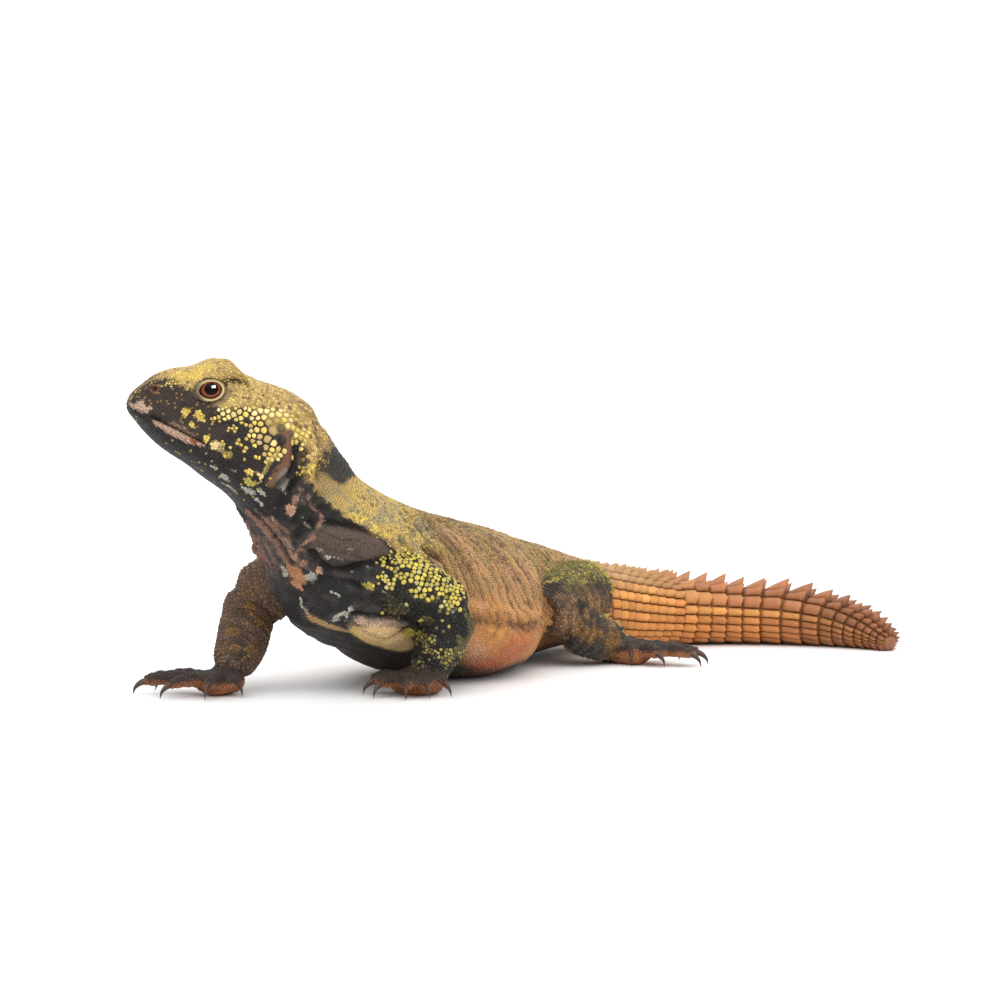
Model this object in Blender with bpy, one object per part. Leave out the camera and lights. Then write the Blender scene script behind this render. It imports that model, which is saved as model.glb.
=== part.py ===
"""A spiny-tailed lizard propped on its front legs, life size, as solids in metres.

The lizard faces -Y with its left side at +X and rests on the floor at Z = 0.
The head is turned to its right and raised, the trunk bends to its left, and the tail
curls to its left along the floor. Sizes are in millimetres until a mesh is made.
"""

import math

import bmesh
import bpy
import numpy as np

MM = 0.001
GAP = 0.3  # between touching pieces
PRESS = 0.4  # how far a limb is cut back from the body that it is pressed on
CENTRE = (5.9, 11.2)  # middle of the model in the plan, which becomes the origin

# The line that the body is built on: the mouth line in the head, then the middle of the trunk
# and tail. Distance from the snout, then x, y, z.
SPINE = np.array([
    (-2.0, -39.4, -116.2, 85.3),
    (27.0, -21.9, -97.5, 71.7),
    (46.0, -10.8, -85.3, 62.6),
    (63.0, -4.8, -74.0, 50.5),
    (80.0, -2.0, -61.5, 38.5),
    (99.0, -1.0, -45.0, 29.0),
    (131.0, -1.0, -15.0, 20.5),
    (146.0, -3.5, 0.0, 18.5),
    (156.0, -6.5, 10.0, 17.0),
    (166.0, -9.0, 20.0, 16.5),
    (181.5, -11.0, 35.0, 15.5),
    (202.0, -8.0, 55.0, 14.5),
    (217.5, -3.5, 70.0, 13.5),
    (238.0, 5.0, 89.0, 12.5),
    (258.0, 15.8, 105.2, 11.5),
    (279.0, 31.6, 118.2, 11.0),
    (299.0, 50.0, 126.2, 10.5),
    (317.0, 67.4, 129.0, 9.0),
    (332.0, 80.5, 127.4, 6.0),
    (345.0, 90.0, 123.0, 3.0),
])
NOSE_LIFT = 2.3  # how far the snout's tip is above the line of the mouth
NOSE_END = 1.6  # where that lift has run out
HEAD_END = 49.0
NECK_END = 74.0
TAIL_START = 222.0
TAIL_END = 344.0

# Distance from the snout, half width, height above the line, depth below it, squareness of
# the upper and the lower half.
SECTIONS = np.array([
    (-2.0, 2.8, 2.2, 1.6, 2.0, 2.0),
    (-1.0, 4.8, 5.2, 2.4, 2.0, 2.0),
    (1.3, 6.8, 11.4, 2.4, 2.1, 2.0),
    (5.5, 8.8, 15.9, 4.2, 2.2, 2.0),
    (11.0, 10.8, 18.5, 6.0, 2.4, 2.0),
    (16.0, 12.4, 20.6, 6.8, 2.5, 2.1),
    (22.0, 14.4, 22.6, 7.3, 2.5, 2.2),
    (28.0, 16.2, 24.0, 8.4, 2.5, 2.2),
    (35.0, 17.5, 25.2, 9.5, 2.4, 2.2),
    (41.0, 17.8, 25.4, 11.2, 2.3, 2.1),
    (48.0, 17.2, 22.2, 12.8, 2.1, 2.0),
    (54.0, 16.8, 20.2, 14.2, 2.1, 2.0),
    (63.0, 18.0, 19.6, 17.4, 2.0, 2.0),
    (74.0, 21.0, 23.0, 21.4, 2.0, 2.0),
    (85.0, 22.5, 25.2, 21.4, 2.1, 2.1),
    (99.0, 25.5, 26.8, 20.0, 2.1, 2.2),
    (115.0, 29.5, 28.0, 21.4, 2.1, 2.4),
    (131.0, 32.0, 28.6, 21.0, 2.1, 2.7),
    (146.0, 29.6, 28.3, 19.5, 2.1, 2.8),
    (156.0, 27.2, 28.0, 18.5, 2.1, 2.7),
    (166.0, 24.6, 27.2, 17.5, 2.1, 2.6),
    (181.5, 22.8, 25.5, 16.0, 2.1, 2.5),
    (202.0, 21.4, 21.7, 13.0, 2.1, 2.3),
    (217.5, 19.6, 17.8, 11.0, 2.1, 2.2),
    (238.0, 17.0, 13.0, 11.5, 2.2, 2.3),
    (258.0, 14.5, 9.8, 11.0, 2.3, 2.3),
    (279.0, 12.5, 7.8, 10.5, 2.3, 2.3),
    (299.0, 10.8, 6.8, 10.0, 2.3, 2.3),
    (317.0, 8.8, 5.0, 8.8, 2.3, 2.2),
    (332.0, 6.2, 3.6, 6.0, 2.2, 2.1),
    (345.0, 2.2, 1.6, 3.0, 2.0, 2.0),
])

# Swellings of the body: centre, reach along x, y and z, and height.
SWELLINGS = [
    ((20.0, -67.0, 18.0), (9.0, 8.0, 5.0), 3.0),  # fold of chest skin before the left arm
    ((-5.0, -76.5, 22.0), (14.0, 7.0, 6.0), 2.6),  # front edge of the chest
    ((-20.0, -70.0, 18.0), (8.0, 8.0, 5.0), 2.0),
    ((26.0, 8.0, 20.0), (9.0, 10.0, 5.0), -1.2),  # crease along the left flank
]

# Head: distance back from the snout, distance out to the side and height, from the mouth line.
BROW = (16.2, 7.2, 18.4)
BROW_SIZE = (7.0, 4.6, 6.0)
BROW_HEIGHT = 6.4
EYE = (16.6, 8.6, 14.2)
EYE_RADIUS = 4.4
LID_RADIUS = 5.35
EYE_OPENING = (3.2, 2.5)
NOSTRIL = (2.4, 6.6, 7.8)
NOSTRIL_RADIUS = 0.9
EAR = (42.6, 17.2, 6.0)
EAR_SIZE = (1.4, 2.6, 7.2)
EAR_LEAN = 12.0
MOUTH_BACK = 21.5
MOUTH_GROOVE = (0.7, 0.25)  # depth and half height

# Tail: distances of the whorls' rear edges from the snout.
WHORLS = [
    229.8, 233.2, 236.6, 240.2, 244.2, 248.4, 253.2, 258.6, 264.6, 270.8, 277.2, 283.8,
    290.8, 298.4, 306.4, 313.6, 319.6, 325.0, 329.8, 334.0, 337.6, 340.8,
]
TAIL_BREAKS = (7, 12, 17)
PLATES = 14
SPINE_HEIGHT = 4.4

# Limb pieces: x, y, z, then the radius across and the radius in height.
LIMBS = {
    "upper_arm_left": [
        (8, -65, 35, 6.0, 6.0), (12, -63.5, 34.5, 8.6, 8.6), (19.5, -58, 31.5, 9.0, 9.0),
        (25.5, -52, 27, 8.6, 8.6), (28.3, -48.7, 24.5, 7.4, 7.4), (29.5, -47, 23.5, 4.0, 4.0),
    ],
    "forearm_left": [
        (28.9, -47.4, 25.5, 4.5, 4.5), (28.5, -48.4, 24, 7.2, 7.2), (27.3, -50.4, 19.5, 8.0, 8.0),
        (24.8, -52, 12.5, 7.2, 7.2), (22.6, -53.2, 7.5, 6.0, 6.0), (22.2, -53.6, 6, 3.0, 3.0),
    ],
    "upper_arm_right": [
        (-6, -63, 36, 6.0, 6.0), (-12, -62, 35.5, 9.0, 9.0), (-22, -60.5, 32.5, 9.2, 9.6),
        (-31, -61, 28, 9.2, 9.8), (-35, -62, 26, 8.2, 8.4), (-37, -62.5, 25, 4.6, 4.6),
    ],
    "forearm_right": [
        (-34.5, -62, 27.5, 5.0, 5.0), (-34.3, -63, 25.5, 8.0, 8.0), (-32.2, -68, 20, 8.2, 8.2),
        (-29.5, -75, 13, 7.8, 7.4), (-27.8, -81, 7.5, 6.0, 6.0), (-27.5, -82, 6, 3.0, 3.0),
    ],
    "thigh_left": [
        (0, 62, 17, 7.0, 7.0), (4, 59.5, 18, 10.5, 10.5), (12, 50, 20, 12.0, 12.0),
        (17.5, 38, 20.5, 11.5, 11.5), (19, 26, 18.5, 10.0, 10.0), (18.5, 19.0, 17.5, 6.0, 6.0),
    ],
    "shank_left": [
        (22.5, 27, 13, 5.0, 5.0), (24, 30, 11.5, 7.2, 7.2), (27, 37, 9, 7.6, 7.6),
        (27, 42.5, 7, 7.0, 6.5), (26, 46.5, 5, 5.5, 5.0), (26, 47.5, 4.5, 3.0, 3.0),
    ],
    "thigh_right": [
        (-14, 64, 17, 7.0, 7.0), (-20, 61.5, 18, 10.5, 10.5), (-31, 55, 19.5, 12.0, 12.0),
        (-41, 47.5, 19, 11.0, 11.0), (-47, 40.5, 16.5, 9.5, 9.5), (-50, 37, 15.5, 6.0, 6.0),
    ],
    "shank_right": [
        (-49.5, 38, 12.5, 5.0, 5.0), (-50, 40.5, 11.5, 7.5, 7.5), (-51, 48, 9, 7.6, 7.4),
        (-50, 56, 6.5, 6.6, 6.0), (-48.5, 61.5, 5, 5.4, 4.8), (-48.5, 62.5, 4.5, 3.0, 3.0),
    ],
}
PALMS = {
    "hand_left": [
        (22.5, -49.5, 4.6, 4.5, 3.5), (22, -52, 4.2, 6.5, 5.0), (20.5, -56.5, 3.8, 8.2, 4.6),
        (19.5, -60, 3.6, 8.2, 4.0), (19.3, -61.5, 3.4, 5.0, 2.6),
    ],
    "hand_right": [
        (-27.8, -80, 4.6, 4.5, 3.5), (-28, -82.5, 4.2, 6.3, 4.4), (-29, -87, 3.8, 8.0, 4.0),
        (-30, -90.5, 3.6, 8.0, 4.0), (-30.5, -92, 3.4, 5.0, 2.6),
    ],
    "foot_left": [
        (22.5, 45.5, 4.2, 4.0, 3.2), (25, 46, 4.4, 5.6, 4.8), (32, 46.8, 4.2, 7.0, 4.8),
        (38.5, 47.2, 3.8, 7.6, 4.2), (40.5, 47.4, 3.6, 5.0, 2.6),
    ],
    "foot_right": [
        (-46.5, 60, 4.2, 4.0, 3.2), (-48, 62, 4.4, 5.6, 4.8), (-53, 67, 4.2, 7.0, 4.8),
        (-57.5, 71.5, 3.8, 7.6, 4.2), (-59, 73, 3.6, 5.0, 2.6),
    ],
}
# Digits of each hand and foot, from the innermost: root x, y, then claw tip x, y.
DIGITS = {
    "hand_left": [
        (14.5, -57.0, 8.8, -67.0), (17.0, -60.0, 16.9, -73.6), (20.5, -60.5, 27.0, -72.0),
        (23.5, -59.0, 31.5, -66.5), (25.5, -56.0, 34.2, -59.0),
    ],
    "hand_right": [
        (-24.0, -86.5, -17.0, -90.9), (-26.0, -89.5, -22.1, -102.1), (-29.5, -90.5, -34.5, -107.0),
        (-33.0, -89.5, -48.3, -102.1), (-35.0, -86.0, -48.5, -91.5),
    ],
    "foot_left": [
        (35.0, 44.5, 40.0, 37.0), (37.5, 44.0, 50.0, 40.5), (38.5, 46.0, 59.5, 46.8),
        (38.5, 48.5, 58.5, 53.5), (35.5, 51.0, 45.0, 59.5),
    ],
    "foot_right": [
        (-56.5, 65.0, -64.5, 62.0), (-58.5, 68.0, -73.0, 70.0), (-58.0, 70.0, -78.5, 79.5),
        (-56.5, 72.0, -73.0, 87.5), (-53.0, 72.5, -59.5, 87.0),
    ],
}
TOE_RADIUS = 2.3
TOE_ARCH = 6.2
CLAW_RADIUS = 1.25
CLAW_REACH = 3.0  # claw root before its tip
CLAW_ROOT_HEIGHT = 4.0

HEAD_ANGLES = [
    0, 5, 10, 20, 31, 42, 53, 65, 77, 90, 103, 115, 127, 138, 149, 160, 170, 175,
    180, 185, 190, 202, 216, 230, 243, 257, 270, 283, 297, 310, 324, 338, 350, 355,
]


def slopes(keys, values):
    """Slope at each key, from the chord between its two neighbours."""
    out = np.empty_like(values)
    out[1:-1] = (values[2:] - values[:-2]) / (keys[2:] - keys[:-2])[:, None]
    out[0] = (values[1] - values[0]) / (keys[1] - keys[0])
    out[-1] = (values[-1] - values[-2]) / (keys[-1] - keys[-2])
    return out


def follow(table, at):
    """A table's columns at distances along its first column, by cubic curves through the rows."""
    table = np.asarray(table, float)
    keys, values = table[:, 0], table[:, 1:]
    m = slopes(keys, values)
    at = np.atleast_1d(np.asarray(at, float))
    i = np.clip(np.searchsorted(keys, at, side="right") - 1, 0, len(keys) - 2)
    h = (keys[i + 1] - keys[i])[:, None]
    t = (at - keys[i])[:, None] / h
    return (
        (2 * t**3 - 3 * t**2 + 1) * values[i] + (t**3 - 2 * t**2 + t) * h * m[i]
        + (3 * t**2 - 2 * t**3) * values[i + 1] + (t**3 - t**2) * h * m[i + 1]
    )


def unit(v):
    return v / np.linalg.norm(v, axis=-1, keepdims=True)


def frames(path, at, step=0.5):
    """Centre, left, up and ahead directions at distances along a path."""
    at = np.atleast_1d(np.asarray(at, float))
    ahead = unit(follow(path, at - step) - follow(path, at + step))
    left = unit(np.cross([0.0, 0.0, 1.0], ahead))
    return follow(path, at), left, np.cross(ahead, left), ahead


def head_point(place, side):
    """A place in the head, given as distance back, out to the side and up."""
    back, out, height = place
    centre, left, up, ahead = frames(SPINE, 20.0)
    base = centre[0] + ahead[0] * 20.0
    return base - ahead[0] * back + left[0] * out * side + up[0] * height


def swell(points, outward):
    """Push points outward by each swelling, whose height falls off as a bell curve."""
    shift = np.zeros(points.shape[:-1])
    for centre, reach, height in SWELLINGS:
        d = (points - np.array(centre)) / np.array(reach)
        shift += height * np.exp(-(d**2).sum(-1))
    for side in (1, -1):
        d = (points - head_point(BROW, side)) @ np.array(frames(SPINE, 20.0)[1:])[:, 0].T
        d = d / np.array([BROW_SIZE[1], BROW_SIZE[2], BROW_SIZE[0]])
        shift += BROW_HEIGHT * np.exp(-(d**2).sum(-1))
    return points + outward * shift[..., None]


def nose_lift(at):
    return NOSE_LIFT * np.clip((NOSE_END - np.asarray(at, float)) / (NOSE_END + 2.0), 0, 1) ** 1.4


def body_rings(at, angles):
    """Rings of the body at distances from the snout, as rings, points and coordinates."""
    centre, left, up, _ = frames(SPINE, at)
    half, above, below, square_up, square_down = follow(SECTIONS, at).T
    c, s = np.cos(angles), np.sin(angles)
    power = np.where(s[None, :] >= 0, 2 / square_up[:, None], 2 / square_down[:, None])
    across = np.sign(c) * np.abs(c) ** power
    rise = np.sign(s) * np.abs(s) ** power
    height = np.where(s >= 0, above[:, None], below[:, None]) * rise
    height = height + nose_lift(at)[:, None]
    offset = (half[:, None] * across)[..., None] * left[:, None] + height[..., None] * up[:, None]
    rings = swell(centre[:, None] + offset, unit(offset))
    rings[..., 2] = np.maximum(rings[..., 2], 0.0)
    return rings


def tail_rings(first, last, previous_edge):
    """Rings of whorls first to last: each rises from its front edge to a rear edge of spines."""
    columns = 2 * PLATES
    angles = (np.arange(columns) + 0.5) * 2 * math.pi / columns
    ridge = np.where(np.arange(columns) % 2 == 0, 1.0, 0.0)
    rings = []
    edges = [previous_edge] + WHORLS[first:last]
    for front, rear in zip(edges[:-1], edges[1:]):
        pitch = rear - front
        size = np.interp(rear, [222, 240, 262, 300, 330, 345], [0.3, 0.5, 0.85, 1.0, 0.7, 0.4])
        lift = SPINE_HEIGHT * size * np.clip(0.25 + 0.95 * (np.sin(angles) + 0.75), 0.12, 1.0)
        lift = np.where(np.sin(angles) < -0.6, 0.12 * SPINE_HEIGHT * size, lift)
        for share, rise_valley, rise_ridge, back in (
            (0.03, 0.0, 0.0, 0.0), (0.55, 0.10, 0.42, 0.0), (0.93, 0.18, 1.0, 0.9),
        ):
            at = front + share * pitch
            centre, left, up, ahead = frames(SPINE, at)
            plain = body_rings([at], angles)[0]
            outward = unit(plain - centre[0])
            rise = lift * (rise_valley + (rise_ridge - rise_valley) * ridge)
            ring = plain + outward * rise[:, None]
            slide = back * size * ridge * np.clip(lift / SPINE_HEIGHT, 0, 1)
            ring = ring - ahead[0] * slide[:, None]
            ring[:, 2] = np.maximum(ring[:, 2], 0.0)
            rings.append(ring)
    return np.array(rings)


def path_rings(path, at, size, sides):
    """Oval rings at distances along a path, each square to it."""
    ahead = unit(follow(path, at - 0.4) - follow(path, at + 0.4))
    left = unit(np.cross([0.0, 0.0, 1.0], ahead) + 1e-9)
    up = np.cross(ahead, left)
    angles = circle(sides)
    return (
        follow(path, at)[:, None]
        + (size[:, :1] * np.cos(angles))[..., None] * left[:, None]
        + (size[:, 1:] * np.sin(angles))[..., None] * up[:, None]
    )


def tube_rings(stations, count, sides):
    """Oval rings along a row of stations, closer together towards both ends."""
    table = np.asarray(stations, float)
    chord = np.linalg.norm(np.diff(table[:, :3], axis=0), axis=1)
    length = np.concatenate([[0], np.cumsum(chord)])
    path = np.column_stack([length, table[:, :3]])
    at = length[-1] * (0.5 - 0.5 * np.cos(np.linspace(0, math.pi, count)))
    return path_rings(path, at, follow(np.column_stack([length, table[:, 3:]]), at), sides)


def spiny(rings, height, first, last, face):
    """Raise every other point of the rings that faces a direction, as rows of pointed scales."""
    middle = rings.mean(axis=1, keepdims=True)
    outward = unit(rings - middle)
    facing = np.clip((outward @ unit(np.array(face, float))) * 2.0 - 0.2, 0, 1)
    count, sides, _ = rings.shape
    checker = (np.arange(count)[:, None] + np.arange(sides)[None, :]) % 2
    inside = (np.arange(count) >= first) & (np.arange(count) <= last)
    return rings + outward * (height * facing * checker * inside[:, None])[..., None]


def to_mesh(name, points, faces):
    """A mesh from points in millimetres, moved to the origin, with its faces turned outward."""
    placed = (np.asarray(points, float) - np.array([*CENTRE, 0.0])) * MM
    mesh = bpy.data.meshes.new(name)
    mesh.from_pydata(placed.tolist(), [], faces)
    work = bmesh.new()
    work.from_mesh(mesh)
    bmesh.ops.recalc_face_normals(work, faces=work.faces)
    work.to_mesh(mesh)
    work.free()
    return mesh


def loft(name, rings):
    """A closed solid through rings of equal count, with a flat cap on each end."""
    rings = np.asarray(rings)
    count, sides, _ = rings.shape
    quads = []
    for r in range(count - 1):
        for k in range(sides):
            n = (k + 1) % sides
            quads.append((r * sides + k, r * sides + n, (r + 1) * sides + n, (r + 1) * sides + k))
    caps = [tuple(range(sides))[::-1], tuple(range((count - 1) * sides, count * sides))]
    return link(name, to_mesh(name, rings.reshape(-1, 3), quads + caps))


def link(name, mesh):
    obj = bpy.data.objects.new(name, mesh)
    bpy.context.scene.collection.objects.link(obj)
    return obj


def ball(name, centre, size, axes, segments=16, rings=10):
    """An oval ball with its poles along the first axis."""
    steps = np.linspace(0, math.pi, rings + 1)[1:-1]
    turns = np.arange(segments) * 2 * math.pi / segments
    a, b, c = (np.array(axis, float) * s for axis, s in zip(axes, size))
    ring = np.cos(turns)[:, None] * b + np.sin(turns)[:, None] * c
    points = [centre + math.cos(t) * a + math.sin(t) * ring for t in steps]
    points = np.concatenate([[centre + a], np.concatenate(points), [centre - a]])
    faces = []
    last = len(points) - 1
    for k in range(segments):
        n = (k + 1) % segments
        faces.append((0, 1 + k, 1 + n))
        for r in range(rings - 2):
            i = 1 + r * segments
            faces.append((i + k, i + segments + k, i + segments + n, i + n))
        i = 1 + (rings - 2) * segments
        faces.append((i + k, last, i + n))
    return link(name, to_mesh(name, points, faces))


def inflate(obj, distance):
    """Move every face of a tool outward, so that the cut leaves a gap."""
    work = bmesh.new()
    work.from_mesh(obj.data)
    work.normal_update()
    shift = [vert.normal * (distance * MM * min(vert.calc_shell_factor(), 1.6)) for vert in work.verts]
    for vert, step in zip(work.verts, shift):
        vert.co += step
    work.to_mesh(obj.data)
    work.free()
    return obj


def remove(objects):
    for obj in objects:
        bpy.data.objects.remove(obj)


def combine(obj, tools, operation):
    """One Boolean of an object with a group of tools, which are then removed."""
    group = bpy.data.collections.new("tools")
    bpy.context.scene.collection.children.link(group)
    for tool in tools:
        group.objects.link(tool)
    modifier = obj.modifiers.new("combine", "BOOLEAN")
    modifier.operation = operation
    modifier.operand_type = "COLLECTION"
    modifier.collection = group
    modifier.solver = "MANIFOLD"
    graph = bpy.context.evaluated_depsgraph_get()
    mesh = bpy.data.meshes.new_from_object(obj.evaluated_get(graph))
    obj.modifiers.clear()
    obj.data = mesh
    remove(tools)
    bpy.data.collections.remove(group)
    keep_largest(obj)


def keep_largest(obj):
    """Delete every closed surface but the one with the largest volume, and split its faces."""
    work = bmesh.new()
    work.from_mesh(obj.data)
    left = set(work.faces)
    islands = []
    while left:
        start = left.pop()
        island, edge = {start}, [start]
        while edge:
            face = edge.pop()
            for side in face.edges:
                for other in side.link_faces:
                    if other in left:
                        left.remove(other)
                        island.add(other)
                        edge.append(other)
        islands.append(island)
    size = []
    for island in islands:
        total = 0.0
        for face in island:
            a = face.verts[0].co
            for i in range(1, len(face.verts) - 1):
                total += a.dot(face.verts[i].co.cross(face.verts[i + 1].co))
        size.append(abs(total))
    best = islands[size.index(max(size))]
    drop = [face for face in work.faces if face not in best]
    bmesh.ops.delete(work, geom=drop, context="FACES")
    loose = [vert for vert in work.verts if not vert.link_faces]
    bmesh.ops.delete(work, geom=loose, context="VERTS")
    on_edge = [vert for vert in work.verts if len(vert.link_edges) == 2]
    bmesh.ops.dissolve_verts(work, verts=on_edge)
    bmesh.ops.triangulate(work, faces=work.faces)
    bmesh.ops.dissolve_degenerate(work, edges=work.edges, dist=0.000002)
    work.to_mesh(obj.data)
    work.free()


def floor_tool():
    corners = [(x, y, z) for x in (-200, 200) for y in (-200, 250) for z in (-40, 0)]
    sides = [(0, 1, 3, 2), (4, 6, 7, 5), (0, 4, 5, 1), (2, 3, 7, 6), (0, 2, 6, 4), (1, 5, 7, 3)]
    return link("floor", to_mesh("floor", corners, sides))


BODY_AT = {
    "head": np.concatenate([[-1.2, -0.5, 0.5], np.linspace(2.0, 46.0, 21), [HEAD_END]]),
    "neck": np.linspace(HEAD_END + GAP, NECK_END - GAP, 9),
    "torso": np.linspace(NECK_END, TAIL_START - GAP, 27),
}


def circle(count):
    return (np.arange(count) + 0.5) * 2 * math.pi / count


def body_tool():
    """The trunk and neck grown a little, for cutting the limbs back from them."""
    at = np.concatenate([BODY_AT["neck"], BODY_AT["torso"], np.linspace(TAIL_START, 250, 6)])
    return inflate(loft("body", body_rings(at, circle(32))), PRESS)


def build_head():
    angles = np.radians(HEAD_ANGLES)
    rings = body_rings(BODY_AT["head"], angles)
    centre, left, up, ahead = frames(SPINE, BODY_AT["head"])
    mouth = BODY_AT["head"] < MOUTH_BACK + 1.5
    for k, angle in enumerate(HEAD_ANGLES):
        if angle in (5, 355, 175, 185):
            side = 1 if angle in (5, 355) else -1
            rings[mouth, k] += left[mouth] * 0.35 * side
    head = loft("head", rings)
    _, left, up, ahead = (v[0] for v in frames(SPINE, 20.0))
    lids = []
    sockets = []
    for side in (1, -1):
        eye = head_point(EYE, side)
        axes = (left * side, up, ahead)
        lids.append(ball("lid", eye, [LID_RADIUS] * 3, axes))
        sockets.append(ball("socket", eye, [EYE_RADIUS + GAP] * 3, axes))
        turns = circle(16)
        rim = (
            EYE_OPENING[0] * np.cos(turns)[:, None] * ahead + EYE_OPENING[1] * np.sin(turns)[:, None] * up
        )
        out = left * side
        opening = [eye + out * 1.0 + rim, eye + out * (LID_RADIUS + 2.0) + rim * 1.25]
        sockets.append(loft("opening", opening))
        nostril = head_point(NOSTRIL, side)
        sockets.append(ball("nostril", nostril, [NOSTRIL_RADIUS] * 3, axes, 10, 6))
        lean = math.radians(EAR_LEAN)
        tall = up * math.cos(lean) + ahead * math.sin(lean)
        across = ahead * math.cos(lean) - up * math.sin(lean)
        ear = head_point(EAR, side)
        size = (EAR_SIZE[2], EAR_SIZE[0], EAR_SIZE[1])
        sockets.append(ball("ear", ear, size, (tall, across, left * side), 12, 10))
    combine(head, lids, "UNION")
    sockets.append(mouth_tool())
    combine(head, sockets, "DIFFERENCE")
    eyes = []
    for side, name in ((1, "eye_left"), (-1, "eye_right")):
        eyes.append(ball(name, head_point(EYE, side), [EYE_RADIUS] * 3, (left * side, up, ahead)))
    return head, eyes


def mouth_tool():
    """A thin blade around the snout, which leaves the line of the closed mouth."""
    depth, half_height = MOUTH_GROOVE
    back = np.concatenate([np.linspace(MOUTH_BACK, 0.0, 12), [-1.2]])
    rows = []
    for side in (1, -1):
        centre, left, up, ahead = frames(SPINE, back)
        width = follow(SECTIONS, back)[:, 0][:, None]
        inner = centre + left * side * np.maximum(width - depth, 0.5)
        outer = centre + left * side * (width + 2.0) + ahead * np.clip(3.0 - back, 0, 3.0)[:, None]
        taper = np.clip((MOUTH_BACK + 0.2 - back) / 3.0, 0.25, 1)[:, None]
        block = np.stack([
            inner - up * half_height * taper, outer - up * half_height * taper,
            outer + up * half_height * taper, inner + up * half_height * taper,
        ], axis=1)
        rows.append(block if side == 1 else block[::-1])
    return loft("mouth", np.concatenate(rows))


def build_body():
    loft("neck", body_rings(BODY_AT["neck"], circle(32)))
    loft("torso", body_rings(BODY_AT["torso"], circle(32)))
    bounds = [0, *TAIL_BREAKS, len(WHORLS)]
    edge = TAIL_START
    for k, (first, last) in enumerate(zip(bounds[:-1], bounds[1:])):
        rings = tail_rings(first, last, edge)
        if last == len(WHORLS):
            tip = body_rings([TAIL_END - 2.0, TAIL_END], circle(2 * PLATES))
            rings = np.concatenate([rings, tip])
        loft(f"tail_{k + 1}", rings)
        edge = WHORLS[last - 1] + GAP


def build_limbs():
    for name, stations in LIMBS.items():
        rings = tube_rings(stations, 12, 14)
        if name.startswith("thigh"):
            rings = tube_rings(stations, 15, 18)
            side = 1 if name.endswith("left") else -1
            rings = spiny(rings, 1.6, 3, 12, (0.75 * side, 0.7, 0.35))
        limb = loft(name, rings)
        tools = [body_tool(), floor_tool()]
        lower = {"upper_arm": "forearm", "forearm": "hand", "thigh": "shank", "shank": "foot"}
        part, _, side = name.rpartition("_")
        inner = f"{lower[part]}_{side}"
        table = LIMBS.get(inner) or PALMS[inner]
        count, sides = (12, 14) if inner in LIMBS else (7, 16)
        tools.append(inflate(loft("inner", tube_rings(table, count, sides)), PRESS))
        for digit in DIGITS.get(inner, []):
            tools.append(inflate(loft("inner", path_rings(*digit_tables(digit)[0], 8)), PRESS))
        combine(limb, tools, "DIFFERENCE")


def digit_tables(digit):
    """Stations of a toe and of the claw after it, cut from one line down to the claw's tip."""
    x0, y0, x1, y1 = digit
    root, tip = np.array([x0, y0]), np.array([x1, y1])
    ahead = unit(tip - root)
    end = tip - ahead * CLAW_REACH
    mid = root + (end - root) * 0.5
    line = np.array([
        (*root, 4.2), (*mid, TOE_ARCH - 1.0), (*end, CLAW_ROOT_HEIGHT),
        (*(end + ahead * 2.3), 2.4), (*tip, 0.25),
    ])
    chord = np.linalg.norm(np.diff(line, axis=0), axis=1)
    table = np.column_stack([np.concatenate([[0], np.cumsum(chord)]), line])
    cut = table[2, 0]
    toe_at = np.linspace(0, cut, 5)
    claw_at = np.linspace(cut + GAP, table[-1, 0], 4)
    toe_radius = np.interp(toe_at, [0, cut / 2, cut], np.array([1.15, 1.1, 0.92]) * TOE_RADIUS)
    claw_radius = np.interp(claw_at, [cut, cut + 2.4, table[-1, 0]], [CLAW_RADIUS, 0.9, 0.12])
    return [
        (table, at, np.column_stack([radius, radius]))
        for at, radius in ((toe_at, toe_radius), (claw_at, claw_radius))
    ]


def build_feet():
    for name, stations in PALMS.items():
        palm = loft(name, tube_rings(stations, 7, 16))
        toes = []
        for k, digit in enumerate(DIGITS[name]):
            toe, claw = digit_tables(digit)
            toes.append(loft("toe", path_rings(*toe, 8)))
            loft(f"claw_{name}_{k + 1}", path_rings(*claw, 6))
        combine(palm, toes, "UNION")
        combine(palm, [body_tool(), floor_tool()], "DIFFERENCE")


COLOURS = {
    "head": (0.35, 0.28, 0.08), "neck": (0.16, 0.11, 0.08), "torso": (0.45, 0.27, 0.12),
    "tail": (0.50, 0.27, 0.12), "upper": (0.30, 0.26, 0.06), "forearm": (0.12, 0.10, 0.06),
    "hand": (0.08, 0.06, 0.05), "thigh": (0.13, 0.12, 0.07), "shank": (0.12, 0.10, 0.06),
    "foot": (0.09, 0.06, 0.05), "claw": (0.12, 0.09, 0.08), "eye": (0.05, 0.015, 0.01),
}


def paint():
    """Give each piece a material of its own in its body part's colour."""
    for obj in bpy.data.objects:
        material = bpy.data.materials.new(obj.name)
        material.use_nodes = True
        shader = material.node_tree.nodes["Principled BSDF"]
        shader.inputs["Base Color"].default_value = (*COLOURS[obj.name.split("_")[0]], 1.0)
        shader.inputs["Roughness"].default_value = 0.15 if obj.name.startswith("eye") else 0.6
        obj.data.materials.clear()
        obj.data.materials.append(material)


def main():
    for obj in list(bpy.data.objects):
        bpy.data.objects.remove(obj)
    build_head()
    build_body()
    build_limbs()
    build_feet()
    paint()


main()
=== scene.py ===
import math

import bmesh
import bpy
import numpy as np
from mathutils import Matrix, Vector
from mathutils.bvhtree import BVHTree
from mathutils.kdtree import KDTree


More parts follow.
